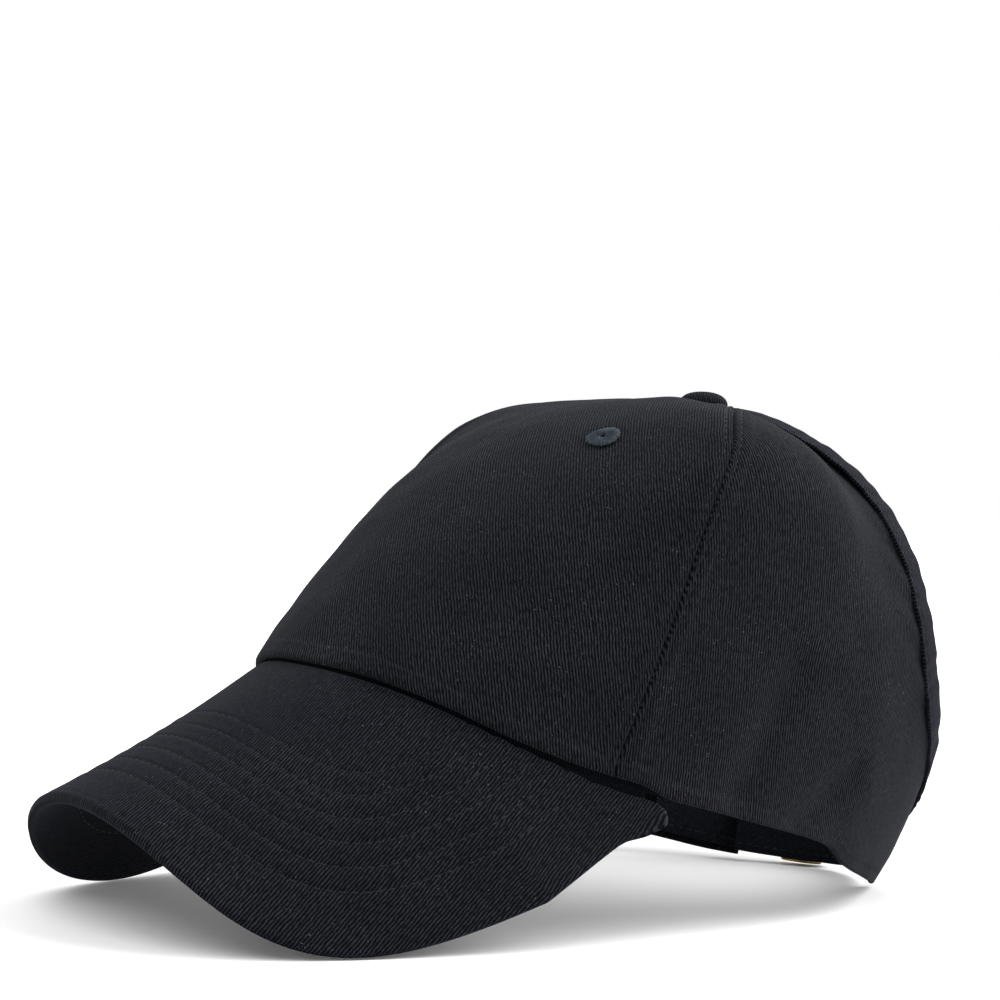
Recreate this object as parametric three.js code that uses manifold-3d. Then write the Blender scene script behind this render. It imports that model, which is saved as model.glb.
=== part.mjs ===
import * as THREE from "three";
import { mergeVertices } from "three/addons/utils/BufferGeometryUtils.js";
import Module from "manifold-3d";

// Ponytail baseball cap in millimetres.
// +Z is up, the visor points along -Y, +X is the wearer's left.
// The cap rests on the floor at z = 0, on its visor tips and its rear strap.

const manifold = await Module();
manifold.setup();

// Angles
const DEGREE = Math.PI / 180;
const HALF_TURN = 180;

// Cloth, and the gaps that keep neighbouring pieces apart
const CLOTH = 1.4;
const GAP = 0.35;
const SEAM_GAP = 0.6;
const SAME_PLACE = 0.001;

// Crown: the centre of its rim, the button's place over it, and the hem that reaches down behind
// the visor, fading out between two angles
const CROWN_CENTRE_Y = 8.8;
const CROWN_FRONT = 110.1;
const RIM_RISE = 28.7;
const APEX_Y = 41.4;
const APEX_Z = 141.4;
const CROWN_TOP_SHARE = 0.965;
const HEM_BEHIND_VISOR = 2.5;
const HEM_FADE_FROM = 34;
const HEM_FADE_TO = 52;

// Visor: where it joins the crown, how it slopes and bends, and its outline
const VISOR_JOIN_Z = 65.9;
const VISOR_SLOPE = 30.7 * DEGREE;
const VISOR_ARC_WIDTH = 80.5;
const VISOR_ARC_HEIGHT = 93.7;
const VISOR_LENGTH = 72.6;
const VISOR_WIDEST = -15.2;
const VISOR_SIDE_ANGLE = 70.6 * DEGREE;
const VISOR_OUTLINE_POWER = 0.4;
const VISOR_NARROWING = -0.2;
const VISOR_LIFT = 0.001;
const VISOR_CORNER = 63;
const CORNER_RUN = 3;
const VISOR_END = 60.5;
const VISOR_CORNER_WIDTH = 2.3;
const VISOR_CORNER_DROP = 1.3;
const VISOR_THICKNESS = 3.4;
const VISOR_EDGE_THICKNESS = 0.3;
const VISOR_EDGE_ROUND = 0.05;
const VISOR_GAP = 0.55;
const VISOR_STEEPEST = 0.72;
const VISOR_SQUARE_FROM = 3;
const VISOR_SQUARE_TO = 15;

// Sweatband
const BAND_THICKNESS = 1.1;
const BAND_GAP = 0.75;
const BAND_HEIGHT = 27;
const BAND_END = 140;

// Binding tape, narrower over the top of the opening
const TAPE_WIDTH = 9.2;
const TAPE_THICKNESS = 0.9;
const TAPE_GAP = 0.7;
const TAPE_NARROWING = 0.25;
const TAPE_NARROW_FROM = 138;
const TAPE_NARROW_TO = 158;
const TAPE_NARROW_SHARES = [0.8, 0.9];

// Button, with a stem down through the cloth
const BUTTON_RADIUS = 7.3;
const BUTTON_HEIGHT = 4.2;
const BUTTON_EDGE = 0.9;
const BUTTON_STEM = 1.6;
const BUTTON_STEM_LENGTH = 5;
const BUTTON_GAP = 0.5;
const BUTTON_DOME_ANGLES = [15, 32, 50, 70];

// Eyelet: a stitched ring with a neck through the cloth
const EYELET_ANGLE = 35;
const EYELET_SHARE = 0.618;
const EYELET_RADIUS = 4.9;
const EYELET_HOLE = 1.2;
const EYELET_HEIGHT = 1.1;
const EYELET_EDGE = 0.4;
const EYELET_BEVEL = 0.7;
const EYELET_NECK = 0.9;
const EYELET_NECK_DEPTH = 1.6;
const EYELET_PUNCH = 1.3;
const PUNCH_LENGTH = 12;

// Straps, and the brass slide buckle on them
const STRAP_TOP_SHARE = 0.112;
const STRAP_THICKNESS = 1.3;
const STRAP_HEIGHT = 19.8;
const STRAP_LIFT = 1.7;
const BUCKLE_MIDDLE = 13.5;
const BUCKLE_HALF_WIDTH = 7;
const BUCKLE_BAR = 1.7;
const BUCKLE_THICKNESS = 1.2;
const BUCKLE_DEPTH = 1.3;
const BUCKLE_TOP_PLATE = 3.2;
const BUCKLE_BOTTOM_ROUND = 0.5;
const BUCKLE_BELOW = 1.2;
const BUCKLE_ABOVE = 1;
const BUCKLE_WINDOW_ROOM = 0.5;

// How finely each piece is divided
const FRONT_COLUMNS = 18;
const SIDE_COLUMNS = 16;
const VISOR_COLUMNS = 34;
const BAND_COLUMNS = 60;
const BAND_ROWS = 6;
const OUTLINE_STEPS = 14;
const OUTLINE_SIDE_STEPS = 7;
const BUTTON_SIDES = 24;
const EYELET_SIDES = 20;
const BUCKLE_END_STEPS = 8;
const BUCKLE_SIDE_STEPS = 3;
const BACK_STEP = 0.5;

// Plan of the rim: distance from the crown's centre at each angle from the front,
// as a share of the distance at the front.
const RIM_PLAN = [
  { angle: 0, reach: 1 },
  { angle: 30, reach: 0.9246 },
  { angle: 60, reach: 0.7838 },
  { angle: 90, reach: 0.6975 },
  { angle: 120, reach: 0.6867 },
  { angle: 150, reach: 0.7448 },
  { angle: 180, reach: 0.8901 },
];

// Height of the rim behind the visor's corners, as a share of its rise beside the ears.
const RIM_HEIGHT = [
  { angle: 84, rise: 1 },
  { angle: 108, rise: 0.7073 },
  { angle: 116, rise: 0.4878 },
  { angle: 130, rise: 0.2962 },
  { angle: 145, rise: 0.1394 },
  { angle: 162, rise: 0 },
  { angle: 180, rise: -0.0209 },
];

// Shape of the crown's rise at each angle: how far it leans in at the rim,
// how tall its lower part stands, how far its upper part reaches, how much its top drops.
const MERIDIANS = [
  { angle: 0, lean: 0.114, rise: 0.201, reach: 0.541, drop: -0.215 },
  { angle: 40, lean: 0.046, rise: 0.501, reach: 0.609, drop: -0.187 },
  { angle: 80, lean: 0.021, rise: 0.939, reach: 1.105, drop: -0.02 },
  { angle: 120, lean: -0.389, rise: 0.667, reach: 1.04, drop: 0.048 },
  { angle: 150, lean: -0.76, rise: 0.51, reach: 1.11, drop: -0.017 },
  { angle: 180, lean: -0.37, rise: 0.381, reach: 1.08, drop: 0.02 },
];

// Front seams, from the rim up to the button.
const SEAMS = [
  { share: 0, left: 52, right: 38 },
  { share: 0.1, left: 55.5, right: 45 },
  { share: 0.25, left: 62.7, right: 53 },
  { share: 0.5, left: 72.7, right: 62.5 },
  { share: 0.75, left: 77.5, right: 76 },
  { share: 1, left: 92, right: 92 },
];

// Rear edge of each side panel: its cut end beside the strap, then the large rear opening.
const REAR_EDGE = [
  { share: 0, angle: 160 },
  { share: 0.075, angle: 162 },
  { share: 0.15, angle: 163.5 },
  { share: 0.163, angle: 159.5 },
  { share: 0.175, angle: 155 },
  { share: 0.195, angle: 150 },
  { share: 0.225, angle: 145.5 },
  { share: 0.26, angle: 141.5 },
  { share: 0.31, angle: 138.5 },
  { share: 0.38, angle: 136.8 },
  { share: 0.47, angle: 136 },
  { share: 0.57, angle: 135.5 },
  { share: 0.66, angle: 135 },
  { share: 0.74, angle: 134.8 },
  { share: 0.78, angle: 135 },
  { share: 0.815, angle: 136.2 },
  { share: 0.85, angle: 138.7 },
  { share: 0.878, angle: 142 },
  { share: 0.898, angle: 146.5 },
  { share: 0.917, angle: 153 },
  { share: 0.932, angle: 162 },
  { share: 0.94, angle: 180 },
];
// The row at which the opening starts.
const OPENING_START = 2;

// Soft folds and dents: a line between two places on the crown, its width and its depth.
const FOLDS = [
  { angle: 78, share: 0.02, toAngle: 92, toShare: 0.16, width: 7, depth: 1.8 },
  { angle: 96, share: 0.01, toAngle: 112, toShare: 0.09, width: 6, depth: 1.6 },
  { angle: -30, share: 0.13, toAngle: -52, toShare: 0.16, width: 11, depth: 1.8 },
  { angle: -96, share: 0.12, toAngle: -128, toShare: 0.2, width: 9, depth: 1.8 },
  { angle: 100, share: 0.55, toAngle: 118, toShare: 0.3, width: 14, depth: -1.2 },
];

// Strap paths: distance round the back from its middle towards the wearer's right, and depth.
const RIGHT_STRAP_PATH = [
  { along: 61, depth: 2.7 },
  { along: 52, depth: 2.7 },
  { along: 38, depth: 2.7 },
  { along: 28, depth: 2.7 },
  { along: 20, depth: 2.7 },
  { along: 16.5, depth: 2.25 },
  { along: 13, depth: 0.4 },
  { along: 10.2, depth: -1.05 },
  { along: 6.6, depth: -1.2 },
  { along: 4.9, depth: -0.3 },
  { along: 4.4, depth: 1.1 },
  { along: 5.1, depth: 2.6 },
  { along: 7.2, depth: 3.5 },
  { along: 11, depth: 4.2 },
  { along: 16, depth: 4.55 },
  { along: 26, depth: 4.55 },
  { along: 36, depth: 4.55 },
];
const LEFT_STRAP_PATH = [
  { along: -61, depth: 2.7 },
  { along: -52, depth: 2.7 },
  { along: -40, depth: 2.7 },
  { along: -28, depth: 2.7 },
  { along: -18, depth: 2.7 },
  { along: -9, depth: 2.7 },
  { along: -2, depth: 3.3 },
  { along: 5, depth: 5.6 },
  { along: 12, depth: 6.4 },
  { along: 24, depth: 6.5 },
  { along: 36, depth: 6.5 },
];

// Curve through a short table, level at both ends.
function curve(rows, key, value, at) {
  const last = rows.length - 1;
  const place = Math.min(Math.max(at, rows[0][key]), rows[last][key]);
  let row = 0;
  while (row < last - 1 && place > rows[row + 1][key]) row += 1;
  const slope = (k) => {
    if (k === 0 || k === last) return 0;
    const rise = rows[k + 1][value] - rows[k - 1][value];
    return rise / (rows[k + 1][key] - rows[k - 1][key]);
  };
  const step = rows[row + 1][key] - rows[row][key];
  const t = (place - rows[row][key]) / step;
  const s = 1 - t;
  const start = rows[row][value] * (1 + 2 * t) * s * s;
  const end = rows[row + 1][value] * t * t * (3 - 2 * t);
  const bend = slope(row) * step * t * s * s + slope(row + 1) * step * t * t * (t - 1);
  return start + end + bend;
}

function smoothStep(from, to, value) {
  const t = Math.min(Math.max((value - from) / (to - from), 0), 1);
  return t * t * (3 - 2 * t);
}

// The visor's top surface: angle round its arc, and distance forward of the join's middle.
const FORWARD = new THREE.Vector3(0, -Math.cos(VISOR_SLOPE), -Math.sin(VISOR_SLOPE));
const RAISED = new THREE.Vector3(0, -Math.sin(VISOR_SLOPE), Math.cos(VISOR_SLOPE));
const JOIN = new THREE.Vector3(0, CROWN_CENTRE_Y - CROWN_FRONT, VISOR_JOIN_Z);

function visorPoint(turn, forward) {
  const ahead = Math.max(forward, 0);
  const grow = 1 + (VISOR_NARROWING * ahead) / VISOR_LENGTH;
  const lift = VISOR_LIFT * ahead * ahead;
  const drop = -VISOR_ARC_HEIGHT * (1 - Math.cos(turn)) * grow + lift;
  return JOIN.clone()
    .addScaledVector(FORWARD, forward)
    .addScaledVector(RAISED, drop)
    .add(new THREE.Vector3(VISOR_ARC_WIDTH * grow * Math.sin(turn), 0, 0));
}

// The same surface found from a place in plan, behind the join's middle.
function visorUnder(x, y) {
  const widest = 0.998;
  const across = Math.min(Math.abs(x) / VISOR_ARC_WIDTH, widest);
  const turn = Math.asin(across) * Math.sign(x);
  const drop = -VISOR_ARC_HEIGHT * (1 - Math.cos(turn));
  const forward = (JOIN.y - y - drop * Math.sin(VISOR_SLOPE)) / Math.cos(VISOR_SLOPE);
  const z = JOIN.z - forward * Math.sin(VISOR_SLOPE) + drop * Math.cos(VISOR_SLOPE);
  return { turn, forward, z };
}

function rimPlan(angle, outward = 0) {
  const radius = CROWN_FRONT * curve(RIM_PLAN, "angle", "reach", Math.abs(angle)) + outward;
  const turn = angle * DEGREE;
  return { x: radius * Math.sin(turn), y: CROWN_CENTRE_Y - radius * Math.cos(turn) };
}

function rimHeight(angle) {
  const turn = Math.abs(angle);
  const plan = rimPlan(turn);
  if (turn < VISOR_CORNER) return visorUnder(plan.x, plan.y).z;
  const corner = [VISOR_CORNER - CORNER_RUN, VISOR_CORNER].map((at) => {
    const place = rimPlan(at);
    return { angle: at, rise: visorUnder(place.x, place.y).z / RIM_RISE };
  });
  return RIM_RISE * curve([...corner, ...RIM_HEIGHT], "angle", "rise", turn);
}

// The crown's outer surface: angle from the front, and share of the way from rim to button.
function crownPoint(angle, share) {
  const turn = Math.abs(angle);
  const plan = rimPlan(angle);
  const height = rimHeight(angle);
  const [lean, rise, reach, drop] = ["lean", "rise", "reach", "drop"].map((name) =>
    curve(MERIDIANS, "angle", name, turn),
  );
  const rest = 1 - share;
  const low = 3 * share * rest * rest;
  const high = 3 * share * share * rest;
  const spread = rest ** 3 + low * (1 - lean) + high * reach;
  const climb = low * rise + high * (1 - drop) + share ** 3;
  return new THREE.Vector3(
    plan.x * spread,
    APEX_Y + (plan.y - APEX_Y) * spread,
    height + (APEX_Z - height) * climb,
  );
}

function crownNormal(angle, share) {
  const small = 0.004;
  const turn = 0.4;
  const highest = 0.985;
  const lower = Math.max(share - small, 0);
  const upper = Math.min(share + small, highest);
  const along = crownPoint(angle + turn, share).sub(crownPoint(angle - turn, share));
  const up = crownPoint(angle, upper).sub(crownPoint(angle, lower));
  return along.cross(up).normalize();
}

function nearestOnSegment(point, from, to) {
  const line = new THREE.Line3(from, to);
  return line.closestPointToPoint(point, true, new THREE.Vector3());
}

const foldLines = FOLDS.map((fold) => ({
  from: crownPoint(fold.angle, fold.share),
  to: crownPoint(fold.toAngle, fold.toShare),
  width: fold.width,
  depth: fold.depth,
}));

function foldDepth(point) {
  return foldLines.reduce((sum, fold) => {
    const away = nearestOnSegment(point, fold.from, fold.to).distanceTo(point);
    return sum + fold.depth * Math.exp(-((away / fold.width) ** 2));
  }, 0);
}

// A place on the crown, set in from its outer surface by a depth.
function clothPoint(angle, share, depth) {
  const point = crownPoint(angle, share);
  return point.addScaledVector(crownNormal(angle, share), -depth - foldDepth(point));
}

// A geometry whose corners are shared where faces meet.
function joined(geometry) {
  const plain = geometry.index ? geometry.toNonIndexed() : geometry.clone();
  plain.deleteAttribute("normal");
  plain.deleteAttribute("uv");
  return mergeVertices(plain, SAME_PLACE);
}

function meshFrom(name, geometry, colour) {
  const merged = joined(geometry);
  merged.computeVertexNormals();
  const material = new THREE.MeshStandardMaterial({ color: colour, roughness: 0.9 });
  const mesh = new THREE.Mesh(merged, material);
  mesh.name = name;
  return mesh;
}

// A closed slab between two grids of points: side 0 is its face, side 1 its back.
function slab(columns, rows, place) {
  const positions = [];
  const index = [];
  const at = (i, j, side) => (i * (rows + 1) + j) * 2 + side;
  for (let i = 0; i <= columns; i += 1) {
    for (let j = 0; j <= rows; j += 1) {
      positions.push(...place(i / columns, j, 0).toArray());
      positions.push(...place(i / columns, j, 1).toArray());
    }
  }
  const quad = (a, b, c, d) => index.push(a, b, c, a, c, d);
  for (let i = 0; i < columns; i += 1) {
    for (let j = 0; j < rows; j += 1) {
      quad(at(i, j, 0), at(i + 1, j, 0), at(i + 1, j + 1, 0), at(i, j + 1, 0));
      quad(at(i, j, 1), at(i, j + 1, 1), at(i + 1, j + 1, 1), at(i + 1, j, 1));
    }
    quad(at(i, 0, 1), at(i + 1, 0, 1), at(i + 1, 0, 0), at(i, 0, 0));
    quad(at(i, rows, 0), at(i + 1, rows, 0), at(i + 1, rows, 1), at(i, rows, 1));
  }
  for (let j = 0; j < rows; j += 1) {
    quad(at(0, j, 0), at(0, j + 1, 0), at(0, j + 1, 1), at(0, j, 1));
    quad(at(columns, j, 1), at(columns, j + 1, 1), at(columns, j + 1, 0), at(columns, j, 0));
  }
  return closedGeometry(positions, index);
}

// A closed body from a ring of points carried along a path, with flat ends.
function carried(steps, ring) {
  const positions = [];
  const index = [];
  const rings = [];
  for (let k = 0; k <= steps; k += 1) rings.push(ring(k));
  const around = rings[0].length;
  rings.forEach((points) => points.forEach((point) => positions.push(...point.toArray())));
  for (let k = 0; k < steps; k += 1) {
    for (let n = 0; n < around; n += 1) {
      const next = (n + 1) % around;
      const a = k * around + n;
      const b = k * around + next;
      const c = (k + 1) * around + next;
      const d = (k + 1) * around + n;
      index.push(a, b, c, a, c, d);
    }
  }
  // The ring is an open band folded on itself, so its ends are filled pair by pair.
  for (let n = 0; n < around / 2 - 1; n += 1) {
    const far = around - 1 - n;
    const last = steps * around;
    index.push(n, far, n + 1, n + 1, far, far - 1);
    index.push(last + n, last + n + 1, last + far, last + n + 1, last + far - 1, last + far);
  }
  return closedGeometry(positions, index);
}

// Turns every face outwards when the volume comes out negative.
function closedGeometry(positions, index) {
  const corner = (n) => new THREE.Vector3().fromArray(positions, index[n] * 3);
  let volume = 0;
  for (let n = 0; n < index.length; n += 3) {
    volume += corner(n).dot(corner(n + 1).cross(corner(n + 2)));
  }
  const faces = volume < 0 ? index.slice().reverse() : index;
  const geometry = new THREE.BufferGeometry();
  geometry.setAttribute("position", new THREE.Float32BufferAttribute(positions, 3));
  geometry.setIndex(faces);
  return geometry;
}

function asSolid(geometry) {
  const merged = joined(geometry);
  const mesh = new manifold.Mesh({
    numProp: 3,
    vertProperties: merged.attributes.position.array,
    triVerts: new Uint32Array(merged.index.array),
  });
  return new manifold.Manifold(mesh);
}

function asGeometry(solid) {
  const mesh = solid.getMesh();
  const geometry = new THREE.BufferGeometry();
  const positions = new Float32Array(mesh.vertProperties);
  geometry.setAttribute("position", new THREE.BufferAttribute(positions, 3));
  geometry.setIndex(new THREE.BufferAttribute(new Uint32Array(mesh.triVerts), 1));
  return geometry;
}

// Moves an angle sideways by a length measured on the cloth.
function shifted(angle, share, length) {
  const near = crownPoint(angle - 0.5, share);
  const far = crownPoint(angle + 0.5, share);
  return angle + length / near.distanceTo(far);
}

// How far the panel reaches down behind the visor.
function hemDrop(angle) {
  const fade = 1 - smoothStep(HEM_FADE_FROM, HEM_FADE_TO, Math.abs(angle));
  return HEM_BEHIND_VISOR * fade;
}

function panelPoint(angle, share, depth) {
  const point = clothPoint(angle, Math.max(share, 0), depth);
  if (share < 0) point.z -= hemDrop(angle);
  return point;
}

// Front panel, between the two front seams. Its first row is the hem's lower edge.
const HEM_ROW = -1;
const FRONT_ROWS = [
  HEM_ROW, 0, 0.03, 0.08, 0.14, 0.21, 0.29, 0.38, 0.47, 0.56, 0.65, 0.73, 0.8, 0.86, 0.91, 0.945,
  CROWN_TOP_SHARE,
];

function frontPanelPoint(across, row, side) {
  const share = FRONT_ROWS[row];
  const height = Math.max(share, 0);
  const right = -curve(SEAMS, "share", "right", height);
  const left = curve(SEAMS, "share", "left", height);
  const from = shifted(right, height, SEAM_GAP / 2);
  const to = shifted(left, height, -SEAM_GAP / 2);
  return panelPoint(from + (to - from) * across, share, side * CLOTH);
}

function placedAt(geometry, middle, normal) {
  const turn = new THREE.Quaternion().setFromUnitVectors(new THREE.Vector3(0, 1, 0), normal);
  const matrix = new THREE.Matrix4().compose(middle, turn, new THREE.Vector3(1, 1, 1));
  return geometry.clone().applyMatrix4(matrix);
}

const eyeletMiddle = crownPoint(EYELET_ANGLE, EYELET_SHARE);
const eyeletNormal = crownNormal(EYELET_ANGLE, EYELET_SHARE);

// The front panel with a round hole for the eyelet's neck
function frontPanelGeometry() {
  const sheet = slab(FRONT_COLUMNS, FRONT_ROWS.length - 1, frontPanelPoint);
  const radius = EYELET_HOLE + EYELET_PUNCH;
  const punch = new THREE.CylinderGeometry(radius, radius, PUNCH_LENGTH, EYELET_SIDES);
  const hole = placedAt(punch, eyeletMiddle, eyeletNormal);
  return asGeometry(asSolid(sheet).subtract(asSolid(hole)));
}

// Side panels, from each front seam back to the rear opening
const FINE_FROM = 0.26;
const FINE_TO = 0.75;

// Shares of the rear opening's edge, halved again along its long flank.
function openingShares() {
  const rows = REAR_EDGE.slice(OPENING_START).map((row) => row.share);
  return rows.flatMap((share, k) => {
    const fine = k > 0 && rows[k - 1] >= FINE_FROM && share <= FINE_TO;
    return fine ? [(rows[k - 1] + share) / 2, share] : [share];
  });
}

const SIDE_ROWS = [HEM_ROW, 0, 0.03, 0.075, 0.115, ...openingShares(), 0.953, CROWN_TOP_SHARE];

function rearAngle(share) {
  const last = REAR_EDGE[REAR_EDGE.length - 1];
  if (share >= last.share) return HALF_TURN;
  const end = REAR_EDGE.slice(0, OPENING_START + 1);
  const opening = REAR_EDGE.slice(OPENING_START);
  const rows = share <= end[OPENING_START].share ? end : opening;
  return curve(rows, "share", "angle", share);
}

function sidePanelPoint(sign, seam) {
  return (across, row, side) => {
    const share = SIDE_ROWS[row];
    const height = Math.max(share, 0);
    const from = shifted(curve(SEAMS, "share", seam, height), height, SEAM_GAP / 2);
    const rear = rearAngle(height);
    const to = rear >= HALF_TURN ? shifted(rear, height, -SEAM_GAP / 2) : rear;
    return panelPoint(sign * (from + (to - from) * across), share, side * CLOTH);
  };
}

function sidePanelGeometry(sign, seam) {
  return slab(SIDE_COLUMNS, SIDE_ROWS.length - 1, sidePanelPoint(sign, seam));
}

// Visor: a covered board, bent in an arc, with a rounded edge
const VISOR_ROWS = [0, 0.06, 0.16, 0.32, 0.5, 0.68, 0.84, 0.95, 0.98, 1];

function visorOutline() {
  const place = rimPlan(VISOR_END + VISOR_CORNER_WIDTH, VISOR_GAP);
  const corner = visorUnder(place.x, place.y);
  corner.forward += VISOR_CORNER_DROP;
  const half = [];
  const length = VISOR_LENGTH - VISOR_WIDEST;
  for (let k = 0; k <= OUTLINE_STEPS; k += 1) {
    const turn = (k / OUTLINE_STEPS) * (Math.PI / 2);
    half.push({
      turn: VISOR_SIDE_ANGLE * Math.sin(turn) ** VISOR_OUTLINE_POWER,
      forward: VISOR_WIDEST + length * Math.cos(turn) ** VISOR_OUTLINE_POWER,
    });
  }
  for (let k = 1; k <= OUTLINE_SIDE_STEPS; k += 1) {
    const back = k / OUTLINE_SIDE_STEPS;
    half.push({
      turn: VISOR_SIDE_ANGLE - (VISOR_SIDE_ANGLE - corner.turn) * back * back,
      forward: VISOR_WIDEST + (corner.forward - VISOR_WIDEST) * back,
    });
  }
  const mirrored = half.slice(1).reverse().map((row) => ({ turn: -row.turn, forward: row.forward }));
  return [...mirrored, ...half];
}

const outline = visorOutline();
const outlineLength = [0];
for (let k = 1; k < outline.length; k += 1) {
  const across = (outline[k].turn - outline[k - 1].turn) * VISOR_ARC_WIDTH;
  const along = outline[k].forward - outline[k - 1].forward;
  outlineLength.push(outlineLength[k - 1] + Math.hypot(across, along));
}

function outlineAt(share) {
  const target = share * outlineLength[outlineLength.length - 1];
  let k = 1;
  while (k < outlineLength.length - 1 && outlineLength[k] < target) k += 1;
  const t = (target - outlineLength[k - 1]) / (outlineLength[k] - outlineLength[k - 1]);
  return {
    turn: outline[k - 1].turn + (outline[k].turn - outline[k - 1].turn) * t,
    forward: outline[k - 1].forward + (outline[k].forward - outline[k - 1].forward) * t,
  };
}

function visorNormal(turn, forward) {
  const small = 0.01;
  const across = visorPoint(turn + small, forward).sub(visorPoint(turn - small, forward));
  const along = visorPoint(turn, forward + 0.5).sub(visorPoint(turn, forward - 0.5));
  return along.cross(across).normalize();
}

function visorSheetPoint(across, row, side) {
  const reach = VISOR_ROWS[row];
  const angle = (across * 2 - 1) * VISOR_END;
  const plan = rimPlan(angle, VISOR_GAP);
  const inner = visorUnder(plan.x, plan.y);
  inner.forward += VISOR_CORNER_DROP * smoothStep(HEM_FADE_FROM, HEM_FADE_TO, Math.abs(angle));
  const outer = outlineAt(across);
  const turn = inner.turn + (outer.turn - inner.turn) * reach;
  const forward = inner.forward + (outer.forward - inner.forward) * reach;
  const top = visorPoint(turn, forward);
  const normal = visorNormal(turn, forward);
  const steep = Math.max(normal.z, VISOR_STEEPEST);
  const straightDown = new THREE.Vector3(0, 0, -VISOR_THICKNESS / steep);
  const squareDown = normal.clone().multiplyScalar(-VISOR_THICKNESS);
  const away = top.distanceTo(visorPoint(inner.turn, inner.forward));
  const thickness = straightDown.lerp(squareDown, smoothStep(VISOR_SQUARE_FROM, VISOR_SQUARE_TO, away));
  const edge = Math.min((1 - reach) / VISOR_EDGE_ROUND, 1);
  const round = Math.sqrt(1 - (1 - edge) ** 2);
  const half = Math.max(round, VISOR_EDGE_THICKNESS) / 2;
  return top.addScaledVector(thickness, side === 0 ? 0.5 - half : 0.5 + half);
}

// Sweatband inside the rim

function bandShare(angle) {
  const height = rimHeight(angle);
  let share = 0;
  while (crownPoint(angle, share).z - height < BAND_HEIGHT) share += 0.005;
  return share;
}

function bandPoint(across, row, side) {
  const angle = (across * 2 - 1) * BAND_END;
  const share = (row / BAND_ROWS) * bandShare(angle);
  return clothPoint(angle, share, CLOTH + BAND_GAP + side * BAND_THICKNESS);
}

// Binding tape folded over the edge of the rear opening
function tapePath() {
  const side = openingShares().map((share) => ({ angle: rearAngle(share), share }));
  const other = side.slice(0, -1).reverse();
  return [...side, ...other.map((row) => ({ angle: 2 * HALF_TURN - row.angle, share: row.share }))];
}

function wrapped(angle) {
  return angle > HALF_TURN ? angle - 2 * HALF_TURN : angle;
}

const tape = tapePath();

// Moves from a place on the edge into the cloth by a length, square to the edge.
function insideEdge(k, length) {
  const before = tape[Math.max(k - 1, 0)];
  const after = tape[Math.min(k + 1, tape.length - 1)];
  const here = tape[k];
  const onCrown = (angle, share) => crownPoint(wrapped(angle), share);
  const turn = 0.2;
  const small = 0.002;
  const point = onCrown(here.angle, here.share);
  const perAngle = onCrown(here.angle + turn, here.share).sub(point).divideScalar(turn);
  const perShare = onCrown(here.angle, here.share + small).sub(point).divideScalar(small);
  const run = onCrown(after.angle, after.share).sub(onCrown(before.angle, before.share));
  const normal = crownNormal(wrapped(here.angle), here.share);
  const into = normal.clone().cross(run).normalize();
  const aa = perAngle.dot(perAngle);
  const ab = perAngle.dot(perShare);
  const bb = perShare.dot(perShare);
  const ra = perAngle.dot(into) * length;
  const rb = perShare.dot(into) * length;
  const det = aa * bb - ab * ab;
  return {
    angle: here.angle + (ra * bb - rb * ab) / det,
    share: here.share + (rb * aa - ra * ab) / det,
  };
}

function tapeRing(k) {
  const outer = -(TAPE_GAP + TAPE_THICKNESS);
  const inner = CLOTH + TAPE_GAP + TAPE_THICKNESS;
  const fromFront = HALF_TURN - Math.abs(HALF_TURN - tape[k].angle);
  const behind = smoothStep(TAPE_NARROW_FROM, TAPE_NARROW_TO, fromFront);
  const [lowest, highest] = TAPE_NARROW_SHARES;
  const top = behind * smoothStep(lowest, highest, tape[k].share);
  const width = TAPE_WIDTH * (1 - TAPE_NARROWING * top);
  const stations = [width, width / 2, 0];
  const place = (length, depth) => {
    const at = insideEdge(k, length);
    return clothPoint(wrapped(at.angle), at.share, depth);
  };
  const lip = -(TAPE_GAP + TAPE_THICKNESS);
  const out = stations.map((length) => place(length, outer));
  const back = stations.slice().reverse().map((length) => place(length, inner));
  const innerBack = stations.map((length) => place(length, CLOTH + TAPE_GAP));
  const innerOut = stations.slice().reverse().map((length) => place(length, -TAPE_GAP));
  const nose = [place(lip, outer), place(lip, inner)];
  const groove = [place(-TAPE_GAP, CLOTH + TAPE_GAP), place(-TAPE_GAP, -TAPE_GAP)];
  innerBack.pop();
  innerOut.shift();
  out.pop();
  back.shift();
  return [...out, ...nose, ...back, ...innerBack, ...groove, ...innerOut];
}

// Button on the crown's apex
function highestNearApex() {
  const lookFrom = 0.86;
  const room = 0.5;
  let highest = APEX_Z;
  for (let angle = -HALF_TURN; angle < HALF_TURN; angle += 15) {
    for (let share = lookFrom; share < 1; share += 0.01) {
      const point = crownPoint(angle, share);
      const away = Math.hypot(point.x, point.y - APEX_Y);
      if (away < BUTTON_RADIUS + room) highest = Math.max(highest, point.z);
    }
  }
  return highest;
}

function buttonGeometry() {
  const profile = [[0, -BUTTON_STEM_LENGTH], [BUTTON_STEM, -BUTTON_STEM_LENGTH], [BUTTON_STEM, 0]];
  profile.push([BUTTON_RADIUS - BUTTON_EDGE, 0], [BUTTON_RADIUS, BUTTON_EDGE]);
  for (const turn of BUTTON_DOME_ANGLES) {
    const reach = Math.cos(turn * DEGREE) * BUTTON_RADIUS;
    profile.push([reach, BUTTON_EDGE + (BUTTON_HEIGHT - BUTTON_EDGE) * Math.sin(turn * DEGREE)]);
  }
  profile.push([0, BUTTON_HEIGHT]);
  const points = profile.map(([x, y]) => new THREE.Vector2(x, y));
  const lathe = new THREE.LatheGeometry(points, BUTTON_SIDES);
  const seat = new THREE.Vector3(0, APEX_Y, highestNearApex() + BUTTON_GAP);
  return placedAt(lathe, seat, new THREE.Vector3(0, 0, 1));
}

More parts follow.
